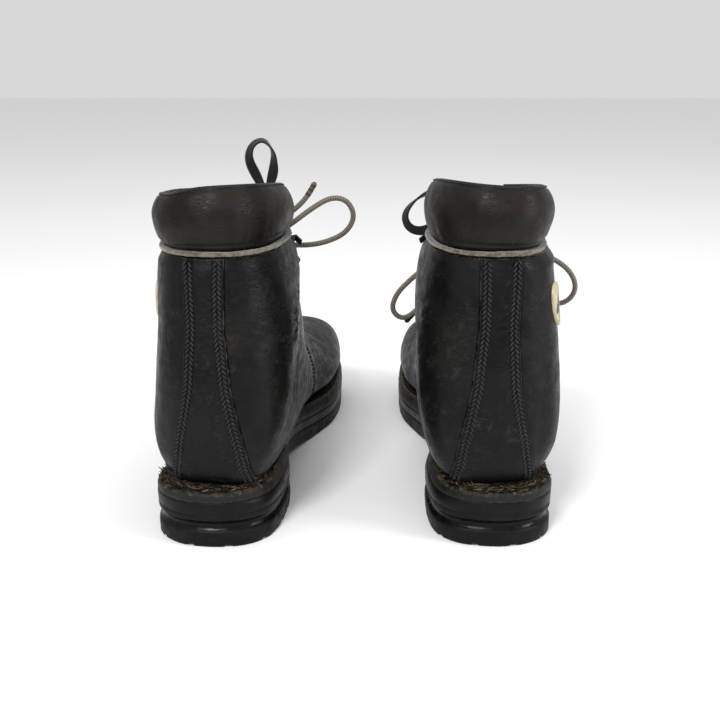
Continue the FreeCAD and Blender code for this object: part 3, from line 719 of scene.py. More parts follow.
def puff(piece, voxel, cap, hold):
    """Inflates a coarse copy as cloth, then moves the piece's own points with it, by hold."""
    scene = bpy.context.scene
    coarse = bpy.data.objects.new("coarse", piece.data.copy())
    scene.collection.objects.link(coarse)
    bpy.context.view_layer.objects.active = coarse
    remesh = coarse.modifiers.new("remesh", "REMESH")
    remesh.mode, remesh.voxel_size = "VOXEL", voxel
    bpy.ops.object.modifier_apply(modifier="remesh")
    before = np.array([v.co for v in coarse.data.vertices])
    cloth = coarse.modifiers.new("cloth", "CLOTH")
    cloth.settings.quality = 6
    cloth.settings.mass = .25
    cloth.settings.use_pressure = True
    cloth.settings.uniform_pressure_force = 4
    cloth.settings.effector_weights.gravity = 0
    last = 16
    for step in range(1, last + 1):
        scene.frame_set(step)
    settled = coarse.evaluated_get(bpy.context.evaluated_depsgraph_get()).to_mesh()
    after = np.array([v.co for v in settled.vertices])
    scene.frame_set(1)
    moved = after - before
    moved -= moved.mean(0)
    size = np.linalg.norm(moved, axis=1, keepdims=True)
    moved *= np.minimum(1, cap / np.maximum(size, 1e-9))
    tree = kdtree.KDTree(len(before))
    for i, p in enumerate(before):
        tree.insert(p, i)
    tree.balance()
    for i, vertex in enumerate(piece.data.vertices):
        found = tree.find_n(vertex.co, 8)
        weight = np.array([1 / (d + voxel / 3) ** 2 for _, _, d in found])
        step = (moved[[n for _, n, _ in found]] * weight[:, None]).sum(0) / weight.sum()
        vertex.co += Vector(step * hold[i])
    data = coarse.data
    bpy.data.objects.remove(coarse)
    bpy.data.meshes.remove(data)


COLLAR_LOW, COLLAR_HIGH = 15.42, 18.05
COLLAR_DEPTH = 4.2      # depth of the seams at its foot and rim
COLLAR_OUT, COLLAR_IN = 6.3, 3.8


# How far the rim is raised, in mm, by distance x to the lateral side: constant, slope, curve.
RIM_RISE = {"left": (1.2, -.08, 0.0), "right": (1.6, -.047, .0025)}
# How far the rim sags at the back of its lateral side, in mm.
RIM_DIP = {"left": 2.6, "right": 0.0}
# How far the top of each boot is drawn in on its lateral side, in mm.
DRAWN_IN = {"left": 1.0, "right": 4.5}


def drawn_in(boot, p):
    """Points moved towards the middle where the top of the shaft is narrower on its outer side."""
    p = p.copy()
    p[..., 0] -= DRAWN_IN[boot.side] * ramp(p[..., 0], 4, 32)
    return p


def collar_height(t):
    return COLLAR_LOW + (COLLAR_HIGH - COLLAR_LOW) * t


def collar(boot):
    """Padded roll: bulges between a crease above the piping and a seam under the rim."""
    around, up, down = 230, 44, 22
    k = np.linspace(.012, .988, around)
    rise = (1 - np.cos(math.pi * np.arange(up) / up)) / 2
    fall = (1 + np.cos(math.pi * np.arange(down) / down)) / 2
    t = np.concatenate([rise, fall])[None, :]
    outer = np.concatenate([np.ones(up), np.zeros(down)])[None, :]
    u = collar_height(t)
    v = high_edge(np.broadcast_to(u, (around, up + down))) * (2 * k[:, None] - 1)
    middle, normal = surface(u, v), outward(u, v)
    girth = from_edges(middle, 0)
    ends = np.sqrt(1 - (1 - np.minimum(girth / 9, 1)) ** 2)
    ends = .12 + .88 * ends
    full = np.sin(math.pi * t) ** .5
    lean = 1 + .12 * np.cos(math.pi * (t - .12))
    out = COLLAR_OUT * full * lean
    out = out - 1.5 * bell(t, .15, .035) * (.65 + .35 * fuzz(middle, 24, boot.seed))
    out = out - .55 * bell(t, .925, .013)
    bulge = np.where(outer > 0, -out, COLLAR_IN * full)
    dents = 1.0 * fuzz(middle, 26, boot.seed + 1) + .35 * fuzz(middle, 9, boot.seed + 2)
    pleats = .35 * folds(k[:, None] * 44 + 1.5 * fuzz(middle, 14, boot.seed)) * bell(t, .2, .12)
    depth = COLLAR_DEPTH + bulge * ends - (dents + pleats) * full * outer
    verts = drawn_in(boot, middle - normal * depth[..., None])
    rise, slope, curve = RIM_RISE[boot.side]
    x = verts[..., 0]
    dip = RIM_DIP[boot.side] * bell(x, 18, 13) * ramp(80 - verts[..., 1], 0, 40)
    verts[..., 2] += t * (rise + slope * x + curve * x * x - dip)
    verts = boot.world(boot.mirror(verts))
    piece = build(boot.name("padded_collar"), verts, tube_faces(around, up + down), MATERIAL["collar"])
    piece.data.materials.append(MATERIAL["lining"])
    inside = np.array([(i % (up + down)) >= up + 3 for i in range((around - 1) * (up + down))] + [False] * 2)
    piece.data.polygons.foreach_set("material_index", inside.astype(int))
    paint(piece, "edge", np.full(verts.size // 3, 9.0))
    puff(piece, .0045, .0035, np.broadcast_to(full * ends, verts.shape[:2]).ravel())
    fit(piece, boot, "boot", "collar_leather", "collar")
    rim_stitches(boot, verts[:, RIM_ROW], np.cross(np.gradient(verts[:, RIM_ROW], axis=0), UP))


RIM_ROW = 38            # row of the collar's points that the stitches under the rim follow


def rim_stitches(boot, line, normal):
    """Small stitches along the seam under the rim."""
    place, way, share = row_points(line[6:-6] / MM, 3.0)
    at = share * (len(line) - 13) + 6
    normal = unit(np.stack([np.interp(at, np.arange(len(line)), normal[:, i]) for i in range(3)], 1))
    normal *= np.sign((normal * (place - place.mean(0))).sum(1))[:, None]
    verts, faces = threads(place - way, place + way, normal, .36, .8)
    piece = build(boot.name("collar_stitches"), verts * MM, faces, MATERIAL["stitch"])
    fit(piece, boot, "boot", "collar_leather")


def tongue_relief(boot, p, u, v, sides, ends):
    pad = 1.3 * ramp(sides, 1, 12) * ramp(ends, 1, 14)
    groove = -.9 * bell(sides, 6.5, 1.1) * ramp(ends, 2, 8)
    return pad + groove + .5 * fuzz(p, 14, boot.seed) + .2 * fuzz(p, 6, boot.seed)


def tongue(boot):
    piece = shell(boot.name("padded_tongue"), boot, tongue_map, (10.0, 13.0), (70, 44), (90, 52),
                  tongue_relief, MATERIAL["tongue"], 1.6)
    count = len(piece.data.vertices)
    puff(piece, .0035, .0015, np.full(count, .8))
    fit(piece, boot, "tongue_flap", "collar_leather", "tongue")


def no_relief(boot, p, u, v, sides, ends):
    return .25 * fuzz(p, 16, boot.seed)


def lining(boot):
    piece = shell(boot.name("fabric_lining"), boot, open_front(1.1, LEATHER_TOP + .35), (4.1, 5.8),
                  (60, 70), (330, 230), no_relief, MATERIAL["lining"], .6)
    fit(piece, boot, "boot", "lining_fabric", "lining")


def piping(boot):
    """Felt strip between leather and collar, its cut edges uneven."""
    k = np.linspace(.004, .996, 420)
    u = np.full_like(k, LEATHER_TOP + .24)
    v = high_edge(u) * (2 * k - 1)
    path = drawn_in(boot, skin(u, v, np.full_like(k, 1.3)))
    normal = outward(u, v)
    turns = (np.arange(16) + .5) / 16 * 2 * math.pi
    square = lambda a: np.copysign(np.abs(a) ** .55, a)
    wide, tall = 2.0 * square(np.cos(turns)), 1.25 * square(np.sin(turns))
    rise = np.cross(normal, unit(np.gradient(path, axis=0)))
    rise *= np.sign(rise[:, 2:])
    verts = path[:, None] + normal[:, None] * wide[:, None] + rise[:, None] * tall[:, None]
    rough = .28 * fuzz(verts, 2.2, boot.seed) + .3 * fuzz(verts, 7, boot.seed) + .12 * fuzz(verts, .8, 2)
    verts = verts + rough[..., None] * unit(verts - path[:, None])
    piece = build(boot.name("felt_piping"), boot.world(boot.mirror(verts)), tube_faces(len(k), 16),
                  MATERIAL["piping"])
    fit(piece, boot, "boot", "piping_leather", "piping")


# --- sole -------------------------------------------------------------------------------------

# Edge of the sole seen from above: y, lateral half-width, medial half-width.
OUTLINE = [(0, 7, 7), (3.5, 18, 18), (11, 27.5, 27.5), (23, 33.5, 34), (45, 35.5, 36),
           (80, 37, 33), (115, 43, 25.5), (150, 50, 25), (180, 56, 31), (210, 60, 38.5),
           (235, 59, 40), (260, 52, 38), (282, 38, 33.5), (298, 21, 25), (306.5, 6, 15)]
STATIONS = [-6, 92, 150, 184, 215, 250, 281, 312]
TREAD_TOP = [20, 20, 14.5, 11, 10, 11.5, 16, 25]
MIDSOLE_TOP = [28, 27, 21, 17.5, 16, 17.3, 21.5, 30]
WELT_TOP = [38, 35.5, 29.5, 26.3, 24.5, 26.2, 30, 36.5]
GROUND = [(92, 12), (110, 11), (130, 9.5), (145, 6.8), (160, 4), (175, 1), (188, 0), (238, 0),
          (252, 1), (266, 3.1), (281, 6), (296, 10.6), (312, 16)]
BREAST = 91.7


def outline_loop(count=640):
    """Closed outline, evenly spaced, with the outward way at each point; x is lateral."""
    ring = [(lat, y) for y, lat, _ in OUTLINE] + [(-med, y) for y, _, med in reversed(OUTLINE)]
    ring = np.array(ring, float)
    ring = np.concatenate([ring[-2:], ring, ring[:3]])
    fine = along(ring, np.linspace(2, len(ring) - 3, 3000))[:-1]
    steps = np.linalg.norm(np.diff(fine, axis=0, append=fine[:1]), axis=1)
    run = np.concatenate([[0], np.cumsum(steps)])
    marks = np.linspace(0, run[-1], count, endpoint=False)
    closed = np.concatenate([fine, fine[:1]])
    loop = np.stack([np.interp(marks, run, closed[:, i]) for i in (0, 1)], 1)
    way = np.roll(loop, -3, 0) - np.roll(loop, 3, 0)
    normal = np.stack([way[:, 1], -way[:, 0]], 1)
    return loop, normal / np.linalg.norm(normal, axis=1, keepdims=True)


LOOP, LOOP_OUT = outline_loop()


def cut_loop(keep_low):
    """The part of the outline behind or in front of the heel's breast, closed by a straight line."""
    y = LOOP[:, 1]
    keep = y < BREAST if keep_low else y > BREAST + .6
    first = int(np.nonzero(keep & ~np.roll(keep, 1))[0][0])
    order = (first + np.arange(len(y))) % len(y)
    order = order[keep[order]]
    loop, out = LOOP[order], LOOP_OUT[order]
    edge_y = BREAST if keep_low else BREAST + .6
    a, b = loop[-1], loop[0]
    share = np.linspace(0, 1, 62)[1:-1, None]
    line = a + (b - a) * share
    line[:, 1] = edge_y
    way = np.tile([0.0, 1.0 if keep_low else -1.0], (len(line), 1))
    return np.concatenate([loop, line]), np.concatenate([out, way])


def level(heights, y):
    """Height of a sole layer's top, straight as far as the breast and smooth after it."""
    x, h = np.array(STATIONS, float), np.array(heights, float)
    slope = np.gradient(h, x)
    slope[0] = (h[1] - h[0]) / (x[1] - x[0])
    i = np.clip(np.searchsorted(x, y) - 1, 0, len(x) - 2)
    wide = x[i + 1] - x[i]
    f = (y - x[i]) / wide
    bend = (h[i] * (1 + 2 * f) * (1 - f) ** 2 + slope[i] * wide * f * (1 - f) ** 2
            + h[i + 1] * f * f * (3 - 2 * f) + slope[i + 1] * wide * f * f * (f - 1))
    return np.where(i == 0, h[0] + (h[1] - h[0]) * f, bend)


def layer(name, boot, loop, out, rows, material, relief=None):
    """Closed sole piece. Each row: inset in mm, share of the way to the middle, height at y."""
    low, high = loop[:, 1].min(), loop[:, 1].max()
    reach = min(30, (high - low) / 3)
    spine_y = np.clip(loop[:, 1], low + reach, high - reach)
    lateral = np.interp(spine_y, [p[0] for p in OUTLINE], [p[1] for p in OUTLINE])
    medial = np.interp(spine_y, [p[0] for p in OUTLINE], [p[2] for p in OUTLINE])
    spine = np.stack([(lateral - medial) / 2, spine_y], 1)
    rings = []
    for inset, share, height in rows:
        flat = loop - out * inset
        flat = flat + (spine - flat) * share
        rings.append(np.concatenate([flat, height(flat[:, 0], flat[:, 1])[:, None]], 1))
    verts = np.array(rings)
    if relief is not None:
        verts = relief(verts, np.concatenate([out, np.zeros((len(out), 1))], 1))
    piece = build(name, boot.world(boot.mirror(verts)), tube_faces(len(rows), len(loop)), material)
    return piece, verts


def flared(verts):
    """The heel end of the sole stands wider on its inner side, most of all near the ground."""
    verts = verts.copy()
    inner = ramp(-verts[..., 0], 4, 26) * ramp(105 - verts[..., 1], 0, 40)
    verts[..., 0] -= 3.8 * inner * ramp(34 - verts[..., 2], 0, 12)
    return verts


def welt(boot):
    """Two plies of leather; the upper one is set back and worn brown along its edge."""
    def under(x, y):
        return level(MIDSOLE_TOP, y) + .02

    def side(share):
        def height(x, y):
            worn_down = share + (1 - share) * ramp(share, .5, .6) * ramp(y, 90, 150)
            return level(MIDSOLE_TOP, y) + worn_down * (level(WELT_TOP, y) - level(MIDSOLE_TOP, y))
        return height

    rows = [(0, share, under) for share in (.93, .6, .3, .1)]
    rows += [(.9, 0, side(0)), (.6, 0, side(.05)), (.5, 0, side(.12)), (.5, 0, side(.22)),
             (.55, 0, side(.35)), (.75, 0, side(.46)), (1.2, 0, side(.54)), (1.9, 0, side(.585)),
             (2.8, 0, side(.61)), (3.8, 0, side(.63)), (5.0, 0, side(.66)), (6.2, 0, side(.7)),
             (7.6, 0, side(.75)), (10, 0, side(.8))]
    rows += [(10, share, side(.85)) for share in (.2, .5, .93)]

    def relief(verts, out):
        rough = .3 * fuzz(verts, 5, boot.seed) + .45 * fuzz(verts, 17, boot.seed)
        ragged = .35 * fuzz(verts, 1.8, boot.seed)
        rough[:5] = 0
        ragged[:9] = 0
        verts = flared(verts + out * (rough + ragged)[..., None])
        verts[10:18, :, 2] += .5 * fuzz(verts[10:18], 3, boot.seed + 1)
        return verts

    piece, verts = layer(boot.name("stacked_welt"), boot, LOOP, LOOP_OUT, rows, MATERIAL["welt"], relief)
    worn = np.zeros(verts.shape[:2])
    worn[4:6] = .9
    worn[9:12] = 1
    worn[12:21] = .45
    worn *= 1 - .6 * ramp(LOOP[:, 1], 80, 130)
    paint(piece, "worn", worn)
    fit(piece, boot, "boot", "welt_leather", "welt")


def midsole(boot):
    """Rubber sheet whose upper edge stands a little proud of the lower one."""
    def side(share):
        return lambda x, y: level(TREAD_TOP, y) + share * (level(MIDSOLE_TOP, y) - level(TREAD_TOP, y))

    rows = [(.8, share, side(0)) for share in (.93, .5, .1)]
    rows += [(.75, 0, side(0)), (.62, 0, side(.04)), (.58, 0, side(.16)), (.55, 0, side(.3)),
             (.5, 0, side(.36)), (.45, 0, side(.46)), (.4, 0, side(.7)), (.45, 0, side(.85)),
             (.6, 0, side(.96)), (1.0, 0, side(1))]
    rows += [(1.4, share, side(1)) for share in (.1, .5, .93)]

    def relief(verts, out):
        return flared(verts + out * (.16 * fuzz(verts, 14, boot.seed))[..., None])

    piece, verts = layer(boot.name("rubber_midsole"), boot, LOOP, LOOP_OUT, rows, MATERIAL["midsole"], relief)
    shine = np.zeros(verts.shape[:2])
    shine[5:11] = .3
    paint(piece, "shine", shine)
    fit(piece, boot, "boot", "sole_rubber", "midsole")


def trench(distance, half=1.9, wall=.7):
    """1 in the middle of a groove and 0 outside it."""
    return ramp(half + wall - np.abs(distance), 0, wall)


def repeated(x, pitch):
    return (x + pitch / 2) % pitch - pitch / 2


def heel_pattern(x, y):
    """Grooves between the heel's lugs: rays at the back, bars along the sides and a centre channel."""
    angle = np.arctan2(x, 34 - y)
    radius = np.hypot(x, 34 - y)
    rays = trench(repeated(angle - .21, .62) * np.maximum(radius, 1), 1.5) * (y < 34) * (radius > 14)
    bars = trench(repeated(y - 40, 17)) * (y >= 34) * (np.abs(x) > 11) * (y < 84)
    ring = trench(radius - 15, 1.4) * (y < 34) + trench(np.abs(x) - 13, 1.4) * (y >= 34) * (y < 84)
    return np.clip(rays + bars + ring, 0, 1)


def off_edge(x, y):
    """1 well inside the sole's outline, 0 at its edge, so that the grooves stop short of it."""
    lateral, medial = (np.interp(y, [p[0] for p in OUTLINE], [p[i] for p in OUTLINE]) for i in (1, 2))
    return ramp(np.minimum(lateral - x, medial + x), 3.2, 5.5)


def tread_pattern(x, y):
    """Grooves between the forefoot's lugs: slanted bars at the edges, lozenges down the middle."""
    middle = np.interp(y, [100, 180, 235, 300], [8, 12, 9, -3])
    off = x - middle
    edge = np.abs(off) > 19
    bars = trench(repeated(y + .25 * np.abs(off), 18)) * edge
    rails = trench(np.abs(off) - 19, 1.5)
    lozenge = np.maximum(trench(repeated(off + y * .75, 17), 1.4), trench(repeated(off - y * .75, 17), 1.4))
    return np.clip(bars + rails + lozenge * ~edge, 0, 1) * ramp(y, 160, 172) * off_edge(x, y)


def underside(ground, pattern, deep):
    return lambda x, y: ground(y) + deep * pattern(x, y)


def heel(boot):
    """Heel block with a concave groove round it for a binding cable, and notched lugs."""
    loop, out = cut_loop(True)
    floor = underside(lambda y: np.zeros_like(y), heel_pattern, 3.4)

    def flat(height, soft=1.0):
        return lambda x, y: np.full_like(y, height) + 3.0 * heel_pattern(x, y) * soft

    rows = [(1.5, share, floor) for share in (.93, .8, .7, .6, .52, .44, .37, .3, .24, .18, .13, .08, .04, 0)]
    rows += [(1.0, 0, flat(.45, .5)), (.8, 0, flat(1.3, .2)), (.7, 0, flat(3.2, 0)),
             (.6, 0, flat(5, 0)), (.6, 0, flat(7.4, 0)), (.75, 0, flat(8.8, 0)), (1.1, 0, flat(9.5, 0))]
    for turn_by in np.linspace(.08, .92, 11):
        rows.append((1.1 + 2.3 * math.sin(math.pi * turn_by) ** .8, 0, flat(9.5 + 7 * turn_by, 0)))
    rows += [(1.0, 0, flat(16.6, 0)), (.7, 0, flat(17.4, 0)), (.6, 0, flat(19.3, 0)),
             (.75, 0, flat(19.95, 0))]
    rows += [(1.4, share, flat(19.95, 0)) for share in (.1, .5, .93)]

    def relief(verts, way):
        rough = .25 * fuzz(verts, 6, boot.seed) + .12 * fuzz(verts, 2, boot.seed)
        rough[:14] = 0
        rough[20:] *= .25
        return flared(verts + way * rough[..., None])

    piece, verts = layer(boot.name("rubber_heel"), boot, loop, out, rows, MATERIAL["rubber"], relief)
    shine = np.zeros(verts.shape[:2])
    shine[21:33] = 1
    paint(piece, "shine", shine)
    fit(piece, boot, "boot", "sole_rubber", "heel_block")


def tread(boot):
    loop, out = cut_loop(False)

    def ground(y):
        return np.interp(y, *zip(*GROUND))

    floor = underside(ground, tread_pattern, 3.4)

    def side(share):
        return lambda x, y: ground(y) + share * (level(TREAD_TOP, y) - ground(y))

    shares = (.95, .86, .78, .7, .63, .56, .5, .44, .38, .33, .28, .23, .19, .15, .11, .08, .05, .02, 0)
    rows = [(1.9, share, floor) for share in shares]
    rows += [(1.3, 0, side(.04)), (1.0, 0, side(.12)), (.9, 0, side(.32)),
             (.85, 0, side(.55)), (.8, 0, side(.8)), (.95, 0, side(.98))]
    rows += [(1.6, share, side(1)) for share in (.05, .5, .93)]

    def relief(verts, way):
        rough = .2 * fuzz(verts, 8, boot.seed)
        rough[:19] = 0
        return verts + way * rough[..., None]

    piece, verts = layer(boot.name("rubber_tread"), boot, loop, out, rows, MATERIAL["rubber"], relief)
    paint(piece, "shine", np.zeros(verts.shape[:2]))
    fit(piece, boot, "boot", "sole_rubber", "tread_sole")


def welt_stitches(boot):
    """Waxed stitches along the welt's top, from the waist round the toe."""
    keep = LOOP[:, 1] > 100
    first = int(np.nonzero(keep & ~np.roll(keep, 1))[0][0])
    order = (first + np.arange(len(LOOP))) % len(LOOP)
    order = order[keep[order]]
    flat = LOOP[order] - LOOP_OUT[order] * 3.1
    line = np.concatenate([flat, level(WELT_TOP, flat[:, 1])[:, None] + .1], 1)
    place, way, _ = row_points(line, 4.4)
    normal = np.tile(UP, (len(place), 1))
    a, b = boot.mirror(place - way * 1.7), boot.mirror(place + way * 1.7)
    verts, faces = threads(a, b, normal, .62, .75)
    piece = build(boot.name("welt_stitches"), boot.world(verts), faces, MATERIAL["welt_stitch"])
    fit(piece, boot, "boot", "welt_leather")


def torn_fibres(boot):
    """Frayed leather and dirt in the gap between the heel of the upper and the welt."""
    near = np.nonzero(LOOP[:, 1] < 88)[0]
    count = 620
    pick = rng.choice(near, count)
    inset = rng.uniform(2.2, 8.5, count)
    flat = LOOP[pick] - LOOP_OUT[pick] * inset[:, None]
    height = level(WELT_TOP, flat[:, 1]) + rng.uniform(-4.0, -2.6, count) + .12 * inset
    start = np.concatenate([flat, height[:, None]], 1)
    along_edge = np.stack([-LOOP_OUT[pick, 1], LOOP_OUT[pick, 0]], 1) * rng.choice([-1, 1], count)[:, None]
    lean = rng.normal(0, .5, (count, 2))
    way = unit(np.concatenate([along_edge + lean, rng.uniform(-.1, .45, (count, 1))], 1))
    length = rng.uniform(1.2, 5.5, count)[:, None]
    end = start + way * length
    thick = rng.uniform(.12, .42, count)
    share = np.array([0, .3, .7, 1])
    girth = np.array([.7, 1, .8, .15])
    turns = np.arange(5) / 5 * 2 * math.pi
    side = unit(np.cross(way, UP))
    over = np.cross(side, way)
    sag = rng.normal(0, .5, (count, 1, 1)) * np.sin(math.pi * share)[None, :, None]
    middle = start[:, None] + (end - start)[:, None] * share[:, None] + side[:, None] * sag
    ring = np.cos(turns)[:, None] * side[:, None, None] + np.sin(turns)[:, None] * over[:, None, None]
    verts = middle[:, :, None] + ring * (girth * thick[:, None])[:, :, None, None]
    one = tube_faces(4, 5)
    faces = [tuple(int(i) + n * 20 for i in face) for n in range(count) for face in one]
    piece = build(boot.name("torn_fibres"), boot.world(boot.mirror(verts)), faces, MATERIAL["fibres"])
    paint(piece, "tint", np.repeat(rng.uniform(0, 1, count) ** 3, 20))
    fit(piece, boot, "boot", "welt_leather")


# --- badge ------------------------------------------------------------------------------------

BADGE_TALL, BADGE_WIDE = 25, 20


# Section and turn at which each badge's middle lies.
BADGE_AT = {"left": (12.6, .235), "right": (13.05, .175)}


def badge(boot):
    """Oval badge that follows the ankle: raised border, dark ring and a plain peak."""
    rings, around = 60, 120
    share, turn_by = np.meshgrid(np.linspace(.004, 1, rings), np.arange(around) / around * 2 * math.pi,
                                 indexing="ij")
    a = BADGE_WIDE / 2 * share * np.cos(turn_by)
    b = BADGE_TALL / 2 * share * np.sin(turn_by)
    (u0, v0), d = BADGE_AT[boot.side], .01
    origin = surface(u0, v0)
    du = (surface(u0 + d, v0) - origin) / d
    dv = (surface(u0, v0 + d) - origin) / d
    upright = unit(UP - outward(u0, v0) * np.dot(UP, outward(u0, v0)))
    level_way = np.cross(upright, outward(u0, v0))
    basis = np.stack([du, dv], 1)
    want = a[..., None] * level_way + b[..., None] * upright
    step = want @ np.linalg.pinv(basis).T
    u, v = u0 + step[..., 0], v0 + step[..., 1]
    middle, normal = surface(u, v), outward(u, v)
    border = ramp(share, .86, .885) * ramp(1.03 - share, 0, .05)
    line = ramp(share, .80, .815) * ramp(.86 - share, 0, .012)
    main = ramp(b + 6.2 - 0.0 * a, 0, .25) * ramp(4.6 - b - 1.75 * np.abs(a - 1), 0, .4)
    minor = ramp(b + 6.2, 0, .25) * ramp(-.2 - b - 1.5 * np.abs(a + 3.9), 0, .4)
    peak = np.maximum(main, minor) * (share < .8)
    lift = 1.15 + .55 * border + .3 * peak - .2 * line
    lift = lift * np.sqrt(np.clip(1 - ramp(share, .965, 1.0) ** 2 * .98, 0, 1))
    middle = middle + normal * settled(boot, middle)[..., None]
    outer = middle + normal * lift[..., None]
    inner = middle[::-1] - normal[::-1] * .3
    verts = np.concatenate([outer, inner])
    piece = build(boot.name("oval_badge"), boot.world(boot.mirror(verts)), tube_faces(2 * rings, around),
                  MATERIAL["badge"])
    ink = np.clip(line + peak, 0, 1)
    paint(piece, "ink", np.concatenate([ink, np.zeros_like(ink)]))
    fit(piece, boot, "boot", "badge_cream", "badge")


# --- laces ------------------------------------------------------------------------------------

RINGS = [5.4, 5.8, 6.2, 6.6]
HOOKS = [7.2, 7.75, 8.7, 12.0]
ROW = 9
LACE, FLAT_LACE = 3.6, 6.4          # diameter of the round lace and width of the flat one
KNOTS = {"left": ((5, 134, 154), (9, 122, 187)), "right": ((2, 139, 142), (2, 122, 187))}
# Routes of the free laces in each boot's own frame, mm, with x to the wearer's right.
ROUTES = {
    "left": {
        "outer_loop_medial": [(12, 134, 157), (24, 141, 165), (37, 147, 175), (50, 151, 183),
                              (61, 153, 181), (66, 154, 170), (60, 154, 159), (48, 152, 153),
                              (36, 147, 151), (24, 142, 152), (13, 136, 151)],
        "outer_end_medial": [(10, 137, 160), (17, 142, 168), (27, 146, 175), (35, 148, 183),
                             (40, 148, 192)],
        "outer_loop_lateral": [(-2, 137, 155), (-14, 145, 154), (-26, 150, 147), (-36, 152, 137),
                               (-39, 154, 125), (-32, 157, 116), (-21, 159, 117), (-12, 157, 127),
                               (-6, 150, 138), (-1, 142, 147)],
        "outer_end_lateral": [(6, 142, 149), (8, 151, 141), (7, 161, 131), (3, 172, 122), (1, 184, 115)],
        "inner_loop_medial": [(12, 122, 192), (8, 119, 201), (4, 116, 211), (7, 114, 220),
                              (15, 113, 224), (21, 114, 217), (21, 116, 207), (18, 120, 198),
                              (15, 124, 190)],
        "inner_loop_lateral": [(3, 124, 190), (-7, 127, 193), (-17, 128, 189), (-22, 130, 179),
                               (-17, 132, 171), (-9, 131, 174), (-2, 129, 181), (4, 127, 187)],
        "inner_end_medial": [(15, 126, 184), (21, 129, 180), (21, 131, 171), (20, 131, 162),
                             (20, 132, 153), (19, 134, 146)],
        "inner_end_lateral": [(5, 129, 183), (0, 133, 174), (-7, 134, 165), (-13, 134, 157),
                              (-19, 134, 150)],
    },
    "right": {
        "outer_loop_medial": [(-5, 140, 146), (-17, 147, 143), (-30, 148, 135), (-42, 145, 126),
                              (-51, 143, 117), (-54, 143, 106), (-46, 144, 99), (-36, 149, 104),
                              (-27, 153, 114), (-17, 152, 126), (-7, 146, 137)],
        "outer_end_medial": [(-2, 147, 137), (-9, 157, 127), (-20, 161, 116), (-32, 157, 106),
                             (-43, 148, 97)],
        "outer_loop_lateral": [(9, 140, 147), (24, 148, 149), (40, 149, 146), (55, 145, 141),
                               (67, 141, 133), (72, 139, 121), (66, 139, 111), (54, 142, 109),
                               (40, 147, 114), (25, 150, 124), (11, 146, 137)],
        "outer_end_lateral": [(5, 147, 137), (10, 157, 128), (14, 168, 119), (18, 178, 110),
                              (21, 187, 101)],
        "inner_loop_medial": [(-5, 123, 192), (-16, 126, 193), (-29, 126, 190), (-41, 125, 184),
                              (-48, 124, 175), (-45, 124, 166), (-36, 125, 163), (-25, 126, 168),
                              (-14, 127, 178), (-6.5, 126, 183.5)],
        "inner_loop_lateral": [(8, 123, 192), (19, 127, 191), (27, 130, 183), (27, 132, 173),
                               (20, 134, 167), (12, 132, 172), (9, 129, 181)],
        "inner_end_medial": [(-4, 128, 184), (-12, 132, 177), (-18, 135, 167), (-19, 138, 156),
                             (-15, 142, 146)],
        "inner_end_lateral": [(4, 128, 182), (4, 135, 174), (5, 139, 165), (3, 141, 157),
                              (-4, 143.5, 149)],
    },
}
# Starting way and twist of each flat loop, in turns, by which it shows its face or its edge.
TWISTS = {"inner_loop_medial": (.85, -.9), "inner_loop_lateral": (.0, .25),
          "inner_end_medial": (.0, .15), "inner_end_lateral": (.1, -.2)}


def smooth_route(points, fine):
    """Points along the NURBS spline that has the route's points as its control points."""
    curve = bpy.data.curves.new("route", "CURVE")
    curve.dimensions = "3D"
    spline = curve.splines.new("NURBS")
    spline.points.add(len(points) - 1)
    for point, place in zip(spline.points, points):
        point.co = (*place, 1)
    spline.order_u = 3
    spline.use_endpoint_u = True
    spline.resolution_u = fine
    curve.resolution_u = fine
    holder = bpy.data.objects.new("route", curve)
    mesh = bpy.data.meshes.new_from_object(holder)
    path = np.array([v.co for v in mesh.vertices])
    bpy.data.objects.remove(holder)
    bpy.data.curves.remove(curve)
    bpy.data.meshes.remove(mesh)
    return path


def run_of(path):
    return np.concatenate([[0], np.cumsum(np.linalg.norm(np.diff(path, axis=0), axis=1))])


def round_lace(path, sides=14):
    """Braided round lace: rings along the path and how high the braid stands at each point."""
    run = run_of(path)[:, None] / MM
    turns = np.arange(sides) / sides * 2 * math.pi
    over = np.sin(3 * turns + run * 1.9) * np.sin(3 * turns - run * 1.9)
    braid = .5 + .5 * over
    radius = LACE / 2 * (.93 + .09 * braid)
    section = np.stack([radius * np.cos(turns), radius * np.sin(turns)], -1) * MM
    return sweep(path, section), braid


def flat_lace(path, start=.0, twist=.0):
    """Flat woven lace with rounded selvedges and a fine chevron weave."""
    run = run_of(path)
    share = run / run[-1]
    half, thin = FLAT_LACE / 2, .72
    across = np.concatenate([np.linspace(-1, 1, 9), np.linspace(1, -1, 9)[1:-1]])
    face = np.concatenate([np.ones(9), -np.ones(7)])
    rim = np.sqrt(np.clip(1 - np.abs(across) ** 4, .02, 1))
    braid = .5 + .5 * np.sin(run[:, None] / MM * 3.2 + 5 * np.abs(across))
    thick = thin * rim * face * (1 + .1 * braid)
    section = np.stack([np.broadcast_to(half * across, thick.shape), thick], -1) * MM
    return sweep(path, section, (start + twist * share) * 2 * math.pi), braid


def lace_piece(name, parts, material):
    """One mesh from swept laces, each a pair of rings and braid heights."""
    verts, faces, braids, total = [], [], [], 0
    for rings, braid in parts:
        for face in tube_faces(rings.shape[0], rings.shape[1]):
            faces.append(tuple(int(i) + total for i in face))
        verts.append(rings.reshape(-1, 3))
        braids.append(np.broadcast_to(braid, rings.shape[:2]).ravel())
        total += rings.shape[0] * rings.shape[1]
    piece = build(name, np.concatenate(verts), faces, material)
    paint(piece, "braid", np.concatenate(braids))
    paint(piece, "tip", np.zeros(total))
    return piece


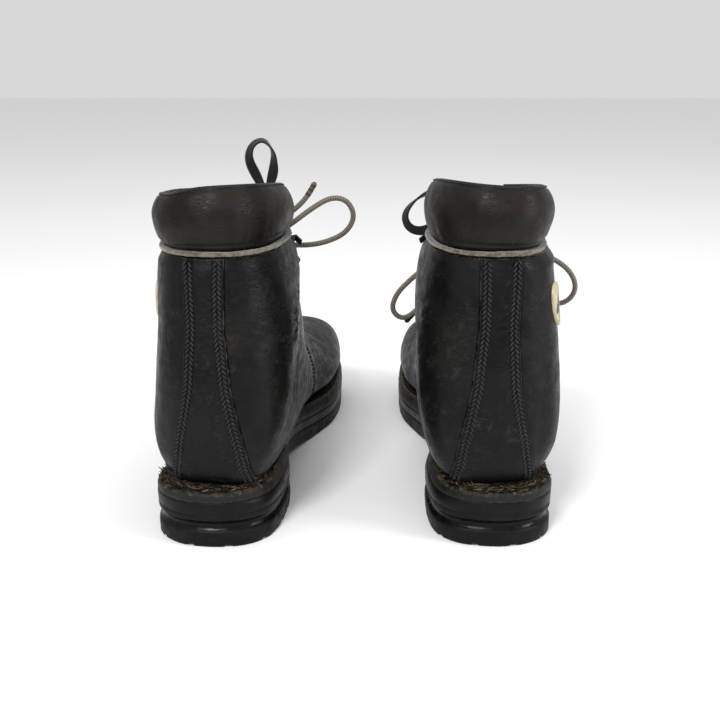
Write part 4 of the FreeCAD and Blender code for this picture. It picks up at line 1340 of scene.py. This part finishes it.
def lace_tip(name, path, wide, thin, material):
    """Waxed and crimped tip over the last of a lace."""
    run = run_of(path)
    keep = path[run > run[-1] - .0095]
    ahead = keep[-1] + unit(keep[-1] - keep[-3]) * .0008
    keep = np.concatenate([keep, ahead[None]])
    share = np.linspace(0, 1, len(keep))
    shape = 1 - .1 * bell(share, .3, .05) - .1 * bell(share, .62, .05) - .45 * ramp(share, .9, 1)
    turns = np.arange(12) / 12 * 2 * math.pi
    section = np.stack([wide * np.cos(turns), thin * np.sin(turns)], -1) * MM
    return build(name, sweep(keep, section, scale=shape), tube_faces(len(keep), 12), material)


def free_laces(boot):
    for label, route in ROUTES[boot.side].items():
        path = smooth_route(boot.world(np.array(route, float)), 40)
        outer = label.startswith("outer")
        swept = round_lace(path) if outer else flat_lace(path, *TWISTS[label])
        slot = "lace_grey" if outer else "lace_black"
        material = MATERIAL["grey_lace" if outer else "black_lace"]
        piece = lace_piece(boot.name("lace_" + label), [swept], material)
        fit(piece, boot, "boot", slot, label)
        loop = "loop" in label
        if not loop:
            size = (LACE / 2 + .1, LACE / 2 + .05) if outer else (1.9, 1.25)
            finish = MATERIAL["brown_tip" if outer else "black_tip"]
            tip = lace_tip(boot.name(f"lace_{label}_tip"), path, *size, finish)
            fit(tip, boot, "boot", "hook_metal")


def fitting_turn(u):
    return 0.5 - turn(u, broken(GAP, u) + ROW, True)


def fitting_frame(u, v, lift):
    """Place on the surface and its ways: away from the lacing, along the edge, outward."""
    point, normal = skin(u, v, -lift), outward(u, v)
    away = surface(u, v + (-.01 if v < .5 else .01)) - surface(u, v)
    edge = unit(np.cross(normal, away))
    away = unit(np.cross(edge, normal))
    return point, away, edge


def strand(lateral, over):
    """One of the two crossing strands, side to side up the rows, over or under the other."""
    rows = RINGS + HOOKS
    points = []
    high, mid = (3.9, 4.9) if over else (2.7, 1.1)
    for i, u in enumerate(rows):
        v = fitting_turn(u) if lateral else 1 - fitting_turn(u)
        point, away, edge = fitting_frame(u, v, 4.5 if u in RINGS else 3.3)
        up = surface(u + .2, .5) - surface(u - .2, .5)
        way = 1 if np.dot(up, edge) > 0 else -1
        pair = [point + away * 2.6 + edge * step * way for step in (-4, 4)]
        points += pair if i else pair[1:]
        if i + 1 < len(rows):
            after = rows[i + 1]
            for share, rise in ((.27, high), (.5, mid), (.73, high)):
                v0, v1 = fitting_turn(u), 1 - fitting_turn(after)
                v = v0 + (v1 - v0) * share
                points.append(skin(u + (after - u) * share, v if lateral else 1 - v, -rise))
        lateral = not lateral
    return np.array(points[:-1])


def knot_path(middle, size):
    """Closed trefoil that fills out like a pulled knot."""
    t = np.linspace(0, 2 * math.pi, 120)
    x, y, z = np.sin(t) + 2 * np.sin(2 * t), np.cos(t) - 2 * np.cos(2 * t), -np.sin(3 * t)
    wide, tall, deep = (s / 2 / 3.0 for s in size)
    return np.array(middle, float) + np.stack([x * wide, z * deep * 3, y * tall], 1)


def tied_laces(boot):
    outer_knot, inner_knot = KNOTS[boot.side]
    parts = []
    for lateral, over in ((True, True), (False, False)):
        path = smooth_route(boot.world(boot.mirror(strand(lateral, over))), 12)
        parts.append(round_lace(path, 10))
    parts.append(round_lace(boot.world(knot_path(outer_knot, (10, 9, 5))), 10))
    piece = lace_piece(boot.name("tied_outer_lace"), parts, MATERIAL["grey_lace"])
    fit(piece, boot, "boot", "lace_grey", "outer_lace")
    x, y, z = inner_knot
    parts = []
    for way in (-1, 1):
        band = np.array([(x + way * 3, y, z), (x + way * 7, y + .5, z + .3), (x + way * 12, y, z - .3),
                         (x + way * 16.5, y - 1, z - 1)], float)
        parts.append(flat_lace(smooth_route(boot.world(band), 30), .25))
    knot = knot_path(inner_knot, (9, 8, 3.5))
    parts.append(flat_lace(boot.world(knot), .1, .5))
    piece = lace_piece(boot.name("tied_inner_lace"), parts, MATERIAL["black_lace"])
    fit(piece, boot, "boot", "lace_black", "inner_lace")


# --- the two boots ----------------------------------------------------------------------------

CAD_FINISH = {"shank": "steel", "counter": "board", "toe_puff": "board", "insole": "insole",
              "d_rings": "hooks", "hooks": "hooks"}


def finish_cad_nodes(boot):
    for node, material in CAD_FINISH.items():
        mesh = frame["nodes"][boot.name(node)].data
        mesh.materials.clear()
        mesh.materials.append(MATERIAL[material])


# --- camera, floor and light ------------------------------------------------------------------

def camera():
    data = bpy.data.cameras.new("camera")
    data.lens, data.sensor_width = 52.85, 36
    bpy.context.scene.view_settings.view_transform = "Standard"
    placed = bpy.data.objects.new("camera", data)
    placed.location = (-.0043567, -.70936, .289)
    placed.rotation_euler = (math.pi / 2 - .304, 0, 0)
    bpy.context.scene.collection.objects.link(placed)
    bpy.context.scene.camera = placed


def soft_light(name, place, aim, size, power):
    data = bpy.data.lights.new(name, "AREA")
    data.shape, data.size, data.size_y, data.energy = "RECTANGLE", size[0], size[1], power
    lamp = bpy.data.objects.new(name, data)
    lamp.location = place
    lamp.rotation_euler = (Vector(aim) - Vector(place)).to_track_quat("-Z", "Y").to_euler()
    bpy.context.scene.collection.objects.link(lamp)


def studio():
    world = bpy.data.worlds.new("studio")
    world.use_nodes = True
    world.node_tree.nodes["Background"].inputs[0].default_value = (1, 1, 1, 1)
    world.node_tree.nodes["Background"].inputs[1].default_value = .68
    bpy.context.scene.world = world
    s = Shader("pale_floor", (.9, .9, .9), .9, Specular_IOR_Level=.1)
    half = 4.0
    corners = [(-half, -half, 0), (half, -half, 0), (half, half, 0), (-half, half, 0)]
    floor = build("floor", corners, [(0, 1, 2, 3)], s.material)
    soft_light("key", (-.45, -1.2, 1.3), (0, -.05, .1), (.4, .4), 17)
    soft_light("fill", (1.3, -.6, .7), (0, 0, .1), (.4, .8), 10)
    soft_light("top", (0, .1, 1.6), (0, 0, .1), (1.0, 1.0), 6)


camera()
for each in BOOTS:
    free_laces(each)
    tied_laces(each)
    leather_panels(each)
    seams(each)
    collar(each)
    tongue(each)
    lining(each)
    piping(each)
    welt(each)
    midsole(each)
    heel(each)
    tread(each)
    welt_stitches(each)
    torn_fibres(each)
    badge(each)
    finish_cad_nodes(each)
studio()
